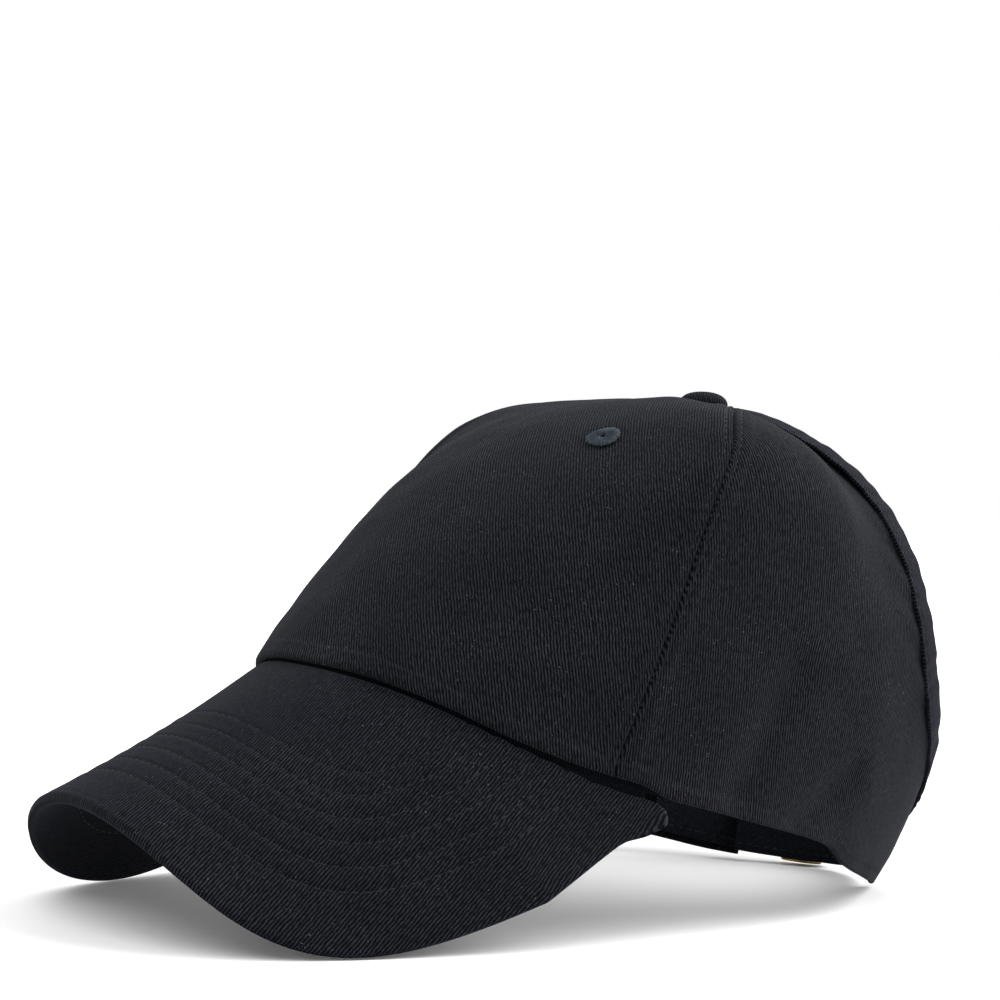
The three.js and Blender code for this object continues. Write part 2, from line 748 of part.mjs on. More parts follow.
// How far the cloth round the eyelet rises above the plane through the eyelet's middle
function clothRiseAtEyelet() {
  const aside = 20;
  const around = 0.08;
  const room = 1;
  let rise = 0;
  for (let turn = -aside; turn <= aside; turn += 2) {
    for (let share = EYELET_SHARE - around; share < EYELET_SHARE + around; share += 0.01) {
      const away = crownPoint(EYELET_ANGLE + turn, share).sub(eyeletMiddle);
      if (away.length() < EYELET_RADIUS + room) rise = Math.max(rise, away.dot(eyeletNormal));
    }
  }
  return rise;
}

// Stitched eyelet: a flat ring on the cloth with a neck through it
function eyeletGeometry() {
  const seat = clothRiseAtEyelet() + GAP;
  const neck = EYELET_HOLE + EYELET_NECK;
  const top = seat + EYELET_HEIGHT;
  const profile = [
    [EYELET_HOLE, -EYELET_NECK_DEPTH],
    [neck, -EYELET_NECK_DEPTH],
    [neck, seat],
    [EYELET_RADIUS, seat],
    [EYELET_RADIUS, seat + EYELET_EDGE],
    [EYELET_RADIUS - EYELET_BEVEL, top],
    [EYELET_HOLE + EYELET_BEVEL, top],
    [EYELET_HOLE, seat + EYELET_EDGE],
    [EYELET_HOLE, -EYELET_NECK_DEPTH],
  ];
  const points = profile.map(([x, y]) => new THREE.Vector2(x, y));
  return placedAt(new THREE.LatheGeometry(points, EYELET_SIDES), eyeletMiddle, eyeletNormal);
}

// Round the back: a distance from the middle of the strap gives the angle there.
const BACK_END = 130;
const backRows = [{ along: 0, angle: HALF_TURN }];
for (let angle = HALF_TURN - BACK_STEP; angle > BACK_END; angle -= BACK_STEP) {
  const before = rimPlan(angle + BACK_STEP);
  const here = rimPlan(angle);
  const step = Math.hypot(here.x - before.x, here.y - before.y);
  backRows.push({ along: backRows[backRows.length - 1].along + step, angle });
}

// A place in the strap: distance round the back, depth from the crown's surface, height.
function strapPoint(along, depth, height) {
  const angle = curve(backRows, "along", "angle", Math.abs(along)) * (along > 0 ? -1 : 1);
  const low = crownPoint(angle, 0);
  const high = crownPoint(angle, STRAP_TOP_SHARE);
  const up = high.clone().sub(low).normalize();
  const aside = crownPoint(angle - 1, 0).sub(crownPoint(angle + 1, 0));
  const outward = up.clone().cross(aside).normalize();
  const middle = new THREE.Vector3(0, CROWN_CENTRE_Y, low.z);
  if (outward.dot(low.clone().sub(middle)) < 0) outward.negate();
  return low.addScaledVector(up, height).addScaledVector(outward, -depth);
}

function strapGeometry(path) {
  const points = path.map((row) => new THREE.Vector2(row.along, row.depth));
  const sides = points.map((point, k) => {
    const before = points[Math.max(k - 1, 0)];
    const after = points[Math.min(k + 1, points.length - 1)];
    const run = after.clone().sub(before).normalize();
    return new THREE.Vector2(-run.y, run.x).multiplyScalar(STRAP_THICKNESS / 2);
  });
  const columns = points.length - 1;
  return slab(columns, 1, (across, row, side) => {
    const k = Math.round(across * columns);
    const shift = sides[k].clone().multiplyScalar(side === 0 ? 1 : -1);
    const place = points[k].clone().add(shift);
    return strapPoint(place.x, place.y, row * STRAP_HEIGHT + STRAP_LIFT);
  });
}

// Brass slide buckle: a frame with one window and half-round ends, bent to the strap
function buckleGeometry() {
  const half = BUCKLE_HALF_WIDTH;
  const low = STRAP_LIFT - BUCKLE_BELOW;
  const high = STRAP_HEIGHT + STRAP_LIFT + BUCKLE_ABOVE;
  const shape = new THREE.Shape();
  const ends = BUCKLE_END_STEPS;
  const side = BUCKLE_SIDE_STEPS;
  const boundary = [];
  for (let k = 0; k <= ends; k += 1) {
    const turn = (k / ends) * Math.PI;
    boundary.push([half * Math.cos(turn), high + BUCKLE_TOP_PLATE * Math.sin(turn)]);
  }
  for (let k = 1; k < side; k += 1) boundary.push([-half, high + ((low - high) * k) / side]);
  for (let k = 0; k <= ends; k += 1) {
    const turn = Math.PI + (k / ends) * Math.PI;
    boundary.push([half * Math.cos(turn), low + BUCKLE_BOTTOM_ROUND * Math.sin(turn)]);
  }
  for (let k = 1; k < side; k += 1) boundary.push([half, low + ((high - low) * k) / side]);
  boundary.forEach(([x, y], k) => (k ? shape.lineTo(x, y) : shape.moveTo(x, y)));
  const window = new THREE.Path();
  const clear = half - BUCKLE_BAR;
  const floor = STRAP_LIFT - BUCKLE_WINDOW_ROOM;
  const roof = STRAP_HEIGHT + STRAP_LIFT + BUCKLE_WINDOW_ROOM;
  window.moveTo(-clear, floor);
  window.lineTo(-clear, roof);
  window.lineTo(clear, roof);
  window.lineTo(clear, floor);
  shape.holes.push(window);
  const flat = new THREE.ExtrudeGeometry(shape, { depth: BUCKLE_THICKNESS, bevelEnabled: false });
  const place = flat.attributes.position;
  for (let n = 0; n < place.count; n += 1) {
    const depth = BUCKLE_DEPTH - place.getZ(n);
    const point = strapPoint(BUCKLE_MIDDLE - place.getX(n), depth, place.getY(n));
    place.setXYZ(n, point.x, point.y, point.z);
  }
  const index = Array.from({ length: place.count }, (unused, n) => n);
  return closedGeometry(Array.from(place.array), index);
}

const BLACK = 0x1b1b22;
const DARK = 0x141419;
const BRASS = 0xc8a85a;
const cap = new THREE.Group();
cap.name = "ponytail_cap";
cap.add(
  meshFrom("front_panel", frontPanelGeometry(), BLACK),
  meshFrom("side_panel_left", sidePanelGeometry(1, "left"), BLACK),
  meshFrom("side_panel_right", sidePanelGeometry(-1, "right"), BLACK),
  meshFrom("visor", slab(VISOR_COLUMNS, VISOR_ROWS.length - 1, visorSheetPoint), BLACK),
  meshFrom("sweatband", slab(BAND_COLUMNS, BAND_ROWS, bandPoint), DARK),
  meshFrom("opening_binding", carried(tape.length - 1, tapeRing), BLACK),
  meshFrom("top_button", buttonGeometry(), BLACK),
  meshFrom("front_eyelet", eyeletGeometry(), BLACK),
  meshFrom("strap_left", strapGeometry(LEFT_STRAP_PATH), BLACK),
  meshFrom("strap_right", strapGeometry(RIGHT_STRAP_PATH), BLACK),
  meshFrom("buckle", buckleGeometry(), BRASS),
);

// Stands the cap on the floor, centred in plan.
cap.updateMatrixWorld(true);
const box = new THREE.Box3().setFromObject(cap);
const centre = box.getCenter(new THREE.Vector3());
cap.position.set(-centre.x, -centre.y, -box.min.z);

export default cap;
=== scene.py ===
"""Looks of a ponytail baseball cap: twill panels, stitched visor, binding tape, strap and brass buckle.

Lengths are millimetres and angles are degrees until a mesh is made, and then metres.
An angle is counted from the cap's front round to its back, and a share from the rim up to the button.
"""

import bpy
import numpy as np
from mathutils import Matrix, Vector


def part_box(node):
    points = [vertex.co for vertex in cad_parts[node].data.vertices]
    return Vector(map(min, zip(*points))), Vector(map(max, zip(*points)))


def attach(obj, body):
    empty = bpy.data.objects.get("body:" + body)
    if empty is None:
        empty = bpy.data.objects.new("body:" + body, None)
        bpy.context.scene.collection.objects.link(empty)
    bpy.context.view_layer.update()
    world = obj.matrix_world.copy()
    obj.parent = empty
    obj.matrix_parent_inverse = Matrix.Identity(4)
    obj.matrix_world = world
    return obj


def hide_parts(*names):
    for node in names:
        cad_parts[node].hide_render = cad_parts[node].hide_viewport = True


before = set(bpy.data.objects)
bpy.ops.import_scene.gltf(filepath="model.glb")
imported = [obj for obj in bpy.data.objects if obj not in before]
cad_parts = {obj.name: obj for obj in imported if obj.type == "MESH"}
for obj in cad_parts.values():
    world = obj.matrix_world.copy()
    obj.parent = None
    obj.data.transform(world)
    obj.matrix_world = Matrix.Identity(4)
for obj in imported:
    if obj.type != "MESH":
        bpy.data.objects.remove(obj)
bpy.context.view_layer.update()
random = np.random.default_rng(7)

MM = 0.001
HALF_TURN = 180.0
CLOTH = 1.4

# Sizes that the crown's cloth is cut to.
CENTRE_Y = 8.8
APEX_Y, APEX_Z = 41.4, 141.4
TOP_SHARE = 0.965
CROWN_FRONT = 110.1
RIM_RISE = 28.7
RIM_PLAN = [(0, 1), (30, 0.9246), (60, 0.7838), (90, 0.6975), (120, 0.6867), (150, 0.7448), (180, 0.8901)]
RIM_HEIGHT = [(84, 1), (108, 0.7073), (116, 0.4878), (130, 0.2962), (145, 0.1394), (162, 0), (180, -0.0209)]
# angle, lean, rise, reach, drop
MERIDIANS = [
    (0, 0.114, 0.201, 0.541, -0.215),
    (40, 0.046, 0.501, 0.609, -0.187),
    (80, 0.021, 0.939, 1.105, -0.02),
    (120, -0.389, 0.667, 1.04, 0.048),
    (150, -0.76, 0.51, 1.11, -0.017),
    (180, -0.37, 0.381, 1.08, 0.02),
]
# share, left seam's angle, right seam's angle
SEAMS = [
    (0, 52, 38), (0.1, 55.5, 45), (0.25, 62.7, 53),
    (0.5, 72.7, 62.5), (0.75, 77.5, 76), (1, 92, 92),
]
# share, angle of the side panel's rear edge; the opening starts at its third row
REAR_EDGE = [
    (0, 160), (0.075, 162), (0.15, 163.5), (0.163, 159.5), (0.175, 155), (0.195, 150),
    (0.225, 145.5), (0.26, 141.5), (0.31, 138.5), (0.38, 136.8), (0.47, 136), (0.57, 135.5),
    (0.66, 135), (0.74, 134.8), (0.78, 135), (0.815, 136.2), (0.85, 138.7), (0.878, 142),
    (0.898, 146.5), (0.917, 153), (0.932, 162), (0.94, 180),
]
OPENING_START = 2

# Soft folds and dents: from angle and share, to angle and share, width, depth
FOLDS = [
    (78, 0.02, 92, 0.16, 7, 1.8),
    (96, 0.01, 112, 0.09, 6, 1.6),
    (-30, 0.13, -52, 0.16, 11, 1.8),
    (-96, 0.12, -128, 0.2, 9, 1.8),
    (100, 0.55, 118, 0.3, 14, -1.2),
]

# Directions to the right, up and back to the camera, as the camera sees the cap
SEEN_RIGHT = np.array([0.6005, 0.7984, 0.0440])
SEEN_UP = np.array([-0.0326, -0.0306, 0.9990])
SEEN_BACK = np.array([0.7989, -0.6014, 0.0076])

# Visor
JOIN_Z = 65.9
SLOPE = np.radians(30.7)
ARC_WIDTH, ARC_HEIGHT = 80.5, 93.7
VISOR_LENGTH, VISOR_WIDEST = 72.6, -15.2
SIDE_ANGLE = np.radians(70.6)
OUTLINE_POWER = 0.4
NARROWING, LIFT = -0.2, 0.001
CORNER_ANGLE = 63.0
VISOR_END = 60.5
VISOR_THICKNESS = 3.4


def smooth_between(t, low, high, low_slope, high_slope):
    """A smooth curve's value a share t of the way between two keys, from its values and slopes there."""
    rest = 1 - t
    ends = low * (1 + 2 * t) * rest**2 + high * t**2 * (3 - 2 * t)
    return ends + low_slope * t * rest**2 - high_slope * t**2 * rest


def curve(rows, at, column=1):
    """Values of a table's column at many places, through every row and level at both ends."""
    table = np.asarray([[row[0], row[column]] for row in rows], float)
    keys, values = table[:, 0], table[:, 1]
    place = np.clip(at, keys[0], keys[-1])
    row = np.clip(np.searchsorted(keys, place, side="right") - 1, 0, len(keys) - 2)
    slopes = np.zeros(len(keys))
    slopes[1:-1] = (values[2:] - values[:-2]) / (keys[2:] - keys[:-2])
    step = keys[row + 1] - keys[row]
    t = (place - keys[row]) / step
    return smooth_between(t, values[row], values[row + 1], slopes[row] * step, slopes[row + 1] * step)


def smooth_step(low, high, value):
    t = np.clip((value - low) / (high - low), 0, 1)
    return t * t * (3 - 2 * t)


def bell(value, width):
    return np.exp(-((value / width) ** 2))


def wandering_wave(place, length, wander, over):
    """A wave whose length drifts from place to place."""
    return np.sin(place * 2 * np.pi / length + wander * np.sin(place / over))


def unit(vectors):
    return vectors / np.maximum(np.linalg.norm(vectors, axis=-1, keepdims=True), 1e-9)


def stack(*parts):
    return np.stack(np.broadcast_arrays(*parts), axis=-1)


def seen_slant(degrees):
    """A direction square to the camera's view, turned up from the right."""
    turn = np.radians(degrees)
    return SEEN_RIGHT * np.cos(turn) + SEEN_UP * np.sin(turn)


def distance_along(line):
    """How far along a line of points each of them lies."""
    return np.append(0, np.cumsum(np.linalg.norm(np.diff(line, axis=0), axis=1)))


def evenly(line, count, *values):
    """Values read at even steps along a line of points, and how far along each step lies."""
    length = distance_along(line)
    place = np.linspace(0, length[-1], count)
    return *(np.interp(place, length, value) for value in values), place


JOIN_Y = CENTRE_Y - CROWN_FRONT
FORWARD = np.array([0.0, -np.cos(SLOPE), -np.sin(SLOPE)])
RAISED = np.array([0.0, -np.sin(SLOPE), np.cos(SLOPE)])


def visor_point(turn, forward):
    ahead = np.maximum(forward, 0)
    grow = 1 + NARROWING * ahead / VISOR_LENGTH
    drop = -ARC_HEIGHT * (1 - np.cos(turn)) * grow + LIFT * ahead**2
    middle = np.array([0.0, JOIN_Y, JOIN_Z])
    across = ARC_WIDTH * grow * np.sin(turn)
    return (
        middle
        + forward[..., None] * FORWARD
        + drop[..., None] * RAISED
        + across[..., None] * np.array([1.0, 0.0, 0.0])
    )


def visor_normal(turn, forward):
    across = visor_point(turn + 0.01, forward) - visor_point(turn - 0.01, forward)
    along = visor_point(turn, forward + 0.5) - visor_point(turn, forward - 0.5)
    return unit(np.cross(along, across))


def visor_under(x, y):
    """The visor surface's turn, distance forward and height over a place in plan."""
    turn = np.arcsin(np.clip(np.abs(x) / ARC_WIDTH, 0, 0.998)) * np.sign(x)
    drop = -ARC_HEIGHT * (1 - np.cos(turn))
    forward = (JOIN_Y - y - drop * np.sin(SLOPE)) / np.cos(SLOPE)
    return turn, forward, JOIN_Z - forward * np.sin(SLOPE) + drop * np.cos(SLOPE)


def rim_plan(angle, outward=0.0):
    radius = CROWN_FRONT * curve(RIM_PLAN, np.abs(angle)) + outward
    turn = np.radians(angle)
    return radius * np.sin(turn), CENTRE_Y - radius * np.cos(turn)


CORNER_ROWS = [
    (at, float(visor_under(*rim_plan(np.array(at)))[2]) / RIM_RISE)
    for at in (CORNER_ANGLE - 3, CORNER_ANGLE)
]


def rim_height(angle):
    turn = np.abs(angle)
    on_visor = visor_under(*rim_plan(turn))[2]
    behind = RIM_RISE * curve(CORNER_ROWS + RIM_HEIGHT, turn)
    return np.where(turn < CORNER_ANGLE, on_visor, behind)


def crown_point(angle, share):
    angle, share = np.broadcast_arrays(np.asarray(angle, float), np.asarray(share, float))
    x, y = rim_plan(angle)
    height = rim_height(angle)
    lean, rise, reach, drop = (curve(MERIDIANS, np.abs(angle), n) for n in (1, 2, 3, 4))
    rest = 1 - share
    low = 3 * share * rest**2
    high = 3 * share**2 * rest
    spread = rest**3 + low * (1 - lean) + high * reach
    climb = low * rise + high * (1 - drop) + share**3
    return stack(x * spread, APEX_Y + (y - APEX_Y) * spread, height + (APEX_Z - height) * climb)


def crown_normal(angle, share):
    low = np.maximum(share - 0.004, 0)
    high = np.minimum(share + 0.004, 0.985)
    along = crown_point(angle + 0.4, share) - crown_point(angle - 0.4, share)
    up = crown_point(angle, high) - crown_point(angle, low)
    return unit(np.cross(along, up))


def fold_depth(points):
    total = np.zeros(points.shape[:-1])
    for angle, share, to_angle, to_share, width, depth in FOLDS:
        start = crown_point(angle, share)
        line = crown_point(to_angle, to_share) - start
        t = np.clip((points - start) @ line / (line @ line), 0, 1)
        away = np.linalg.norm(points - start - t[..., None] * line, axis=-1)
        total += depth * bell(away, width)
    return total


class Waves:
    """Soft random undulation, the same on every run."""

    def __init__(self, count, shortest, longest, height):
        directions = unit(random.normal(size=(count, 3)))
        lengths = random.uniform(shortest, longest, count)
        self.waves = directions * (2 * np.pi / lengths)[:, None]
        self.starts = random.uniform(0, 2 * np.pi, count)
        self.height = height / np.sqrt(count)

    def __call__(self, points):
        return self.height * np.sin(points @ self.waves.T + self.starts).sum(-1)


soft_waves = Waves(count=14, shortest=32, longest=75, height=0.5)
small_waves = Waves(count=18, shortest=9, longest=20, height=0.16)

# The solids' own frame: the button's middle stands over the crown's apex.
BUTTON_RADIUS, BUTTON_HEIGHT = 7.3, 4.3
BUTTON_GAP, BUTTON_STEM_END = 0.5, 5.0
button_low, button_high = (np.array(corner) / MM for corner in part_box("top_button"))


def highest_near_apex():
    angle, share = np.meshgrid(np.arange(-180, 180, 15.0), np.arange(0.86, 1, 0.01))
    points = crown_point(angle, share)
    near = np.hypot(points[..., 0], points[..., 1] - APEX_Y) < BUTTON_RADIUS + 0.5
    return max(APEX_Z, points[..., 2][near].max())


APEX_TOP = highest_near_apex()
SHIFT = np.array([
    (button_low[0] + button_high[0]) / 2,
    (button_low[1] + button_high[1]) / 2 - APEX_Y,
    button_low[2] - (APEX_TOP + BUTTON_GAP - BUTTON_STEM_END),
])


# Meshes
def face_outwards(points, faces):
    """Turns all faces over when the closed mesh's volume comes out negative."""
    fans = [(face[0], b, c) for face in faces for b, c in zip(face[1:-1], face[2:])]
    a, b, c = points[np.array(fans)].transpose(1, 0, 2)
    volume = (a * np.cross(b, c)).sum()
    return faces if volume > 0 else [face[::-1] for face in faces]


def make_object(name, points, faces, weave=None):
    mesh = bpy.data.meshes.new(name)
    faces = face_outwards(points, faces)
    mesh.from_pydata(((points + SHIFT) * MM).tolist(), [], faces)
    mesh.polygons.foreach_set("use_smooth", [True] * len(mesh.polygons))
    if weave is not None:
        attribute = mesh.attributes.new("weave", "FLOAT_VECTOR", "POINT")
        attribute.data.foreach_set("vector", np.asarray(weave, np.float32).ravel())
    mesh.update()
    item = bpy.data.objects.new(name, mesh)
    bpy.context.scene.collection.objects.link(item)
    return item


def grid_faces(columns, rows, start=0, around=False):
    """Quads of a grid of columns by rows of points; around joins the last column to the first."""
    i = np.arange(columns if around else columns - 1)
    j = np.arange(rows - 1)
    i, j = np.meshgrid(i, j, indexing="ij")
    after = (i + 1) % columns
    quads = np.stack([i * rows + j, after * rows + j, after * rows + j + 1, i * rows + j + 1], -1)
    return (quads.reshape(-1, 4) + start).tolist()


def closed_sheet(name, outer, inner, weave):
    """A closed cloth wall between two grids of points that share their layout."""
    columns, rows = outer.shape[:2]
    count = columns * rows
    faces = grid_faces(columns, rows)
    faces += [face[::-1] for face in grid_faces(columns, rows, count)]
    index = np.arange(count).reshape(columns, rows)
    for border in (index[:, 0], index[-1, :], index[::-1, -1], index[0, ::-1]):
        a, b = border[:-1], border[1:]
        faces += np.stack([b, a, a + count, b + count], 1).tolist()
    points = np.stack([outer, inner]).reshape(-1, 3)
    return make_object(name, points, faces, np.stack([weave, weave]))


def tube(name, lines, weave=None, joined=False):
    """A tube of lines of points that run along it side by side, with flat ends or joined ones."""
    around, steps = lines.shape[:2]
    index = np.arange(around * steps).reshape(around, steps)
    faces = grid_faces(around, steps, around=True)
    if joined:
        after = np.roll(index, -1, axis=0)
        faces += np.stack([index[:, -1], after[:, -1], after[:, 0], index[:, 0]], 1).tolist()
    else:
        faces += [index[:, 0].tolist(), index[::-1, -1].tolist()]
    return make_object(name, lines.reshape(-1, 3), faces, weave)


# Cloth coordinates
def bias_weave(along, across):
    """Cloth coordinates of a strip cut so that its wales run at half a right angle to it."""
    return stack((along + across) * 0.7, (along - across) * 0.7, 0.0)


def resampled(grid, count, axis):
    """A coarse grid read at more places along one axis, along smooth curves."""
    grid = np.moveaxis(grid, axis, 0)
    place = np.linspace(0, len(grid) - 1, count)
    row = np.clip(place.astype(int), 0, len(grid) - 2)
    t = (place - row).reshape(-1, *[1] * (grid.ndim - 1))
    before, here, there, after = (
        grid[np.clip(row + step, 0, len(grid) - 1)] for step in (-1, 0, 1, 2)
    )
    read = smooth_between(t, here, there, (there - before) / 2, (after - here) / 2)
    return np.moveaxis(read, 0, axis)


def flattened(points):
    """Lays a curved grid of points flat with its angles kept, and its middle at true size."""
    columns, rows = points.shape[:2]
    place = points.reshape(-1, 3)
    quads = np.array(grid_faces(columns, rows))
    triangles = np.concatenate([quads[:, [0, 1, 2]], quads[:, [0, 2, 3]]])
    a, b, c = (place[triangles[:, n]] for n in range(3))
    length = np.linalg.norm(b - a, axis=1)
    x_axis = (b - a) / length[:, None]
    x = np.einsum("ij,ij->i", c - a, x_axis)
    y = np.linalg.norm(c - a - x[:, None] * x_axis, axis=1)
    corners = np.stack([np.zeros_like(x) + 0j, length + 0j, x + 1j * y], 1)
    weight = 1 / np.sqrt(np.maximum(length * y, 1e-6))
    count = len(place)
    matrix = np.zeros((2 * len(triangles), 2 * count))
    row = np.arange(len(triangles))
    for n in range(3):
        edge = (corners[:, (n + 2) % 3] - corners[:, (n + 1) % 3]) * weight
        column = triangles[:, n]
        matrix[2 * row, 2 * column] += edge.real
        matrix[2 * row, 2 * column + 1] -= edge.imag
        matrix[2 * row + 1, 2 * column] += edge.imag
        matrix[2 * row + 1, 2 * column + 1] += edge.real
    fixed = [0, 1, 2 * (rows - 1), 2 * (rows - 1) + 1]
    held = np.array([0, 0, 0, np.linalg.norm(place[rows - 1] - place[0])])
    free = np.setdiff1d(np.arange(2 * count), fixed)
    normal = matrix[:, free].T @ matrix[:, free] + 1e-9 * np.eye(len(free))
    answer = np.zeros(2 * count)
    answer[fixed] = held
    answer[free] = np.linalg.solve(normal, -matrix[:, free].T @ (matrix[:, fixed] @ held))
    flat = answer.reshape(columns, rows, 2)
    i, j = columns // 2, rows // 3
    true = np.linalg.norm(points[i + 1, j] - points[i - 1, j])
    return flat * true / np.linalg.norm(flat[i + 1, j] - flat[i - 1, j])


def read_along_rows(grid, keys, at):
    """Reads each column of a grid at new keys, along a smooth curve through its own keys."""
    read = np.zeros((*at.shape, grid.shape[-1]))
    for k, (values, places, wanted) in enumerate(zip(grid, keys, at)):
        slopes = np.gradient(values, places, axis=0, edge_order=1)
        row = np.clip(np.searchsorted(places, wanted, side="right") - 1, 0, len(places) - 2)
        step = (places[row + 1] - places[row])[:, None]
        t = (wanted - places[row])[:, None] / step
        read[k] = smooth_between(
            t, values[row], values[row + 1], slopes[row] * step, slopes[row + 1] * step
        )
    return read


COARSE_COLUMNS, COARSE_ROWS = 22, 18


def weave_of(points, seen_across, at, keys=None):
    """Cloth coordinates of a grid: across the wales, along them, and zero.

    The wales run so that at one place of the grid, given as shares of its columns and rows,
    they lie square to a direction seen from outside. Keys say where uneven rows lie.
    """
    columns, rows = points.shape[:2]
    every_column, every_row = max(columns // COARSE_COLUMNS, 1), max(rows // COARSE_ROWS, 1)
    coarse = points[::every_column, ::every_row]
    coarse_columns, coarse_rows = coarse.shape[:2]
    flat = flattened(coarse)
    i = min(max(int(at[0] * coarse_columns), 1), coarse_columns - 2)
    j = min(max(int(at[1] * coarse_rows), 1), coarse_rows - 2)
    surface = np.stack([coarse[i + 1, j] - coarse[i - 1, j], coarse[i, j + 1] - coarse[i, j - 1]], 1)
    laid = np.stack([flat[i + 1, j] - flat[i - 1, j], flat[i, j + 1] - flat[i, j - 1]], 1)
    across = np.linalg.lstsq(surface, seen_across, rcond=None)[0]
    line = unit(laid @ (np.array([-1.0, 1.0]) * (surface.T @ seen_across)[::-1]))
    normal = np.array([line[1], -line[0]])
    normal *= np.sign((laid @ across) @ normal)
    read = stack(flat @ normal, flat @ line, 0.0)
    full_columns = (coarse_columns - 1) * every_column + 1
    full_rows = (coarse_rows - 1) * every_row + 1
    read = resampled(read, full_columns, 0)
    if keys is None:
        read = resampled(read, full_rows, 1)
    else:
        keys = keys[:full_columns]
        read = read_along_rows(read, keys[:, ::every_row], keys[:, :full_rows])
    pad = ((0, columns - full_columns), (0, rows - full_rows), (0, 0))
    return np.pad(read, pad, mode="reflect", reflect_type="odd")


# Crown panels
HEM_ROUND, HEM_TURN = 6, 82.0
HEM_HEIGHTS = [0, 0.35, 0.8, 1.35, 2.0, 2.8]
HEM_CLEAR = 2.1
HEM_SETTLED = 0.3
EVEN_COLUMNS = 0.45
ALLOWANCE = 5.5
TOPSTITCH = 2.2


def seam_relief(away):
    """The seam's rolled edge, the thick allowance under it and the topstitched groove."""
    rolled = -1.0 * bell(away, 0.5)
    padded = 0.45 * smooth_step(ALLOWANCE + 1.5, ALLOWANCE - 1, away)
    return rolled + padded - 0.35 * bell(away - TOPSTITCH, 0.5)


def seam_angle(sign, share):
    return sign * curve(SEAMS, share, 1 if sign > 0 else 2)


def rear_angle(share):
    end = curve(REAR_EDGE[: OPENING_START + 1], share)
    opening = curve(REAR_EDGE[OPENING_START:], share)
    last = REAR_EDGE[-1][0]
    below = np.where(share <= REAR_EDGE[OPENING_START][0], end, opening)
    return np.where(share >= last, HALF_TURN, below)


def hem_lift(angle):
    """How far the hem stands out over the visor, and how far up its lower edge is."""
    over = 1 - smooth_step(CORNER_ANGLE - 7, CORNER_ANGLE + 1, np.abs(angle))
    return 0.35 + 0.75 * over, HEM_CLEAR * over


def share_speed(angle):
    return np.linalg.norm(crown_point(angle, 0.004) - crown_point(angle, 0.0), axis=-1) / 0.004


def panel(name, columns, shares, edges, relief, seen_across, at):
    """A crown panel: shares are its rows above the hem, edges gives its two side angles there."""
    hem_rows = HEM_ROUND + len(HEM_HEIGHTS)
    rows = hem_rows + len(shares)
    across = np.linspace(0, 1, columns)
    across = EVEN_COLUMNS * across + (1 - EVEN_COLUMNS) * (1 - np.cos(np.pi * across)) / 2
    angle, share, lip, middle = (np.zeros((columns, rows)) for _ in range(4))
    for j in range(rows):
        for _ in range(2):
            base = share[:, j] if j else np.zeros(columns)
            start, end = edges(np.clip(base, 0, 1))
            angle[:, j] = start + (end - start) * across
            out, up = hem_lift(angle[:, j])
            speed = share_speed(angle[:, j])
            radius = (CLOTH + out) / 2
            half, settle = radius, 1.0
            if j < HEM_ROUND:
                turn = np.radians(HEM_TURN * (HEM_ROUND - j) / HEM_ROUND)
                half = radius * np.cos(turn)
                share[:, j] = (up + radius * (1 - np.sin(turn))) / speed
            elif j < hem_rows:
                share[:, j] = (up + radius + HEM_HEIGHTS[j - HEM_ROUND]) / speed
            else:
                foot = (up + radius + HEM_HEIGHTS[-1]) / speed
                t = (shares[j - hem_rows] - shares[0]) / (shares[-1] - shares[0])
                share[:, j] = foot + (shares[-1] - foot) * t
                settle = 1 - smooth_step(0.0, HEM_SETTLED, share[:, j] - foot)
            middle[:, j] = (out - CLOTH) / 2 * settle - CLOTH / 2 * (1 - settle)
            lip[:, j] = half * settle + CLOTH / 2 * (1 - settle)
    points = crown_point(angle, share)
    normals = crown_normal(angle, share)
    depth = fold_depth(points)
    detail = relief(angle, share, points)
    outer = points + normals * (middle + lip - depth + detail)[..., None]
    inner = points + normals * (middle - lip - depth + np.minimum(detail, 0.1))[..., None]
    return closed_sheet(name, outer, inner, weave_of(points, seen_across, at, share))


def side_step(angle, share):
    """Millimetres for one degree round the crown."""
    return np.linalg.norm(crown_point(angle + 0.5, share) - crown_point(angle - 0.5, share), axis=-1)


def soft_relief(points, share):
    calm = smooth_step(0.0, 0.12, share) * 0.7 + 0.3
    return soft_waves(points) * calm + small_waves(points) * 0.5


def front_relief(angle, share, points):
    size = side_step(angle, share)
    left = (seam_angle(1, share) - angle) * size
    right = (angle - seam_angle(-1, share)) * size
    ring = np.linalg.norm(points - EYELET_POINT, axis=-1)
    pucker = -0.35 * bell(ring - 5.6, 1.0)
    return soft_relief(points, share) + seam_relief(left) + seam_relief(right) + pucker


def side_relief(sign):
    def relief(angle, share, points):
        size = side_step(angle, share)
        seam = np.abs(angle - seam_angle(sign, share)) * size
        edge = (rear_angle(share) - np.abs(angle)) * size
        along = points @ np.array([0.35, 0.55, 0.75])
        near = bell(np.maximum(edge - 9, 0), 9.0) * smooth_step(0.1, 0.2, share)
        gathers = 0.42 * near * wandering_wave(along, 9.5, 2, 23)
        return soft_relief(points, share) + seam_relief(seam) + gathers
    return relief


EYELET_ANGLE, EYELET_SHARE = 35.0, 0.618
EYELET_POINT = crown_point(EYELET_ANGLE, EYELET_SHARE)
EYELET_NORMAL = crown_normal(np.array(EYELET_ANGLE), np.array(EYELET_SHARE))
SEAM_CUT = -0.06


def front_edges(share):
    size = side_step(50.0, share)
    return seam_angle(-1, share) + SEAM_CUT / size, seam_angle(1, share) - SEAM_CUT / size


def side_edges(sign):
    def edges(share):
        size = side_step(60.0, share)
        rear = rear_angle(share) - SEAM_CUT / size
        return seam_angle(sign, share) + sign * SEAM_CUT / size, sign * rear
    return edges


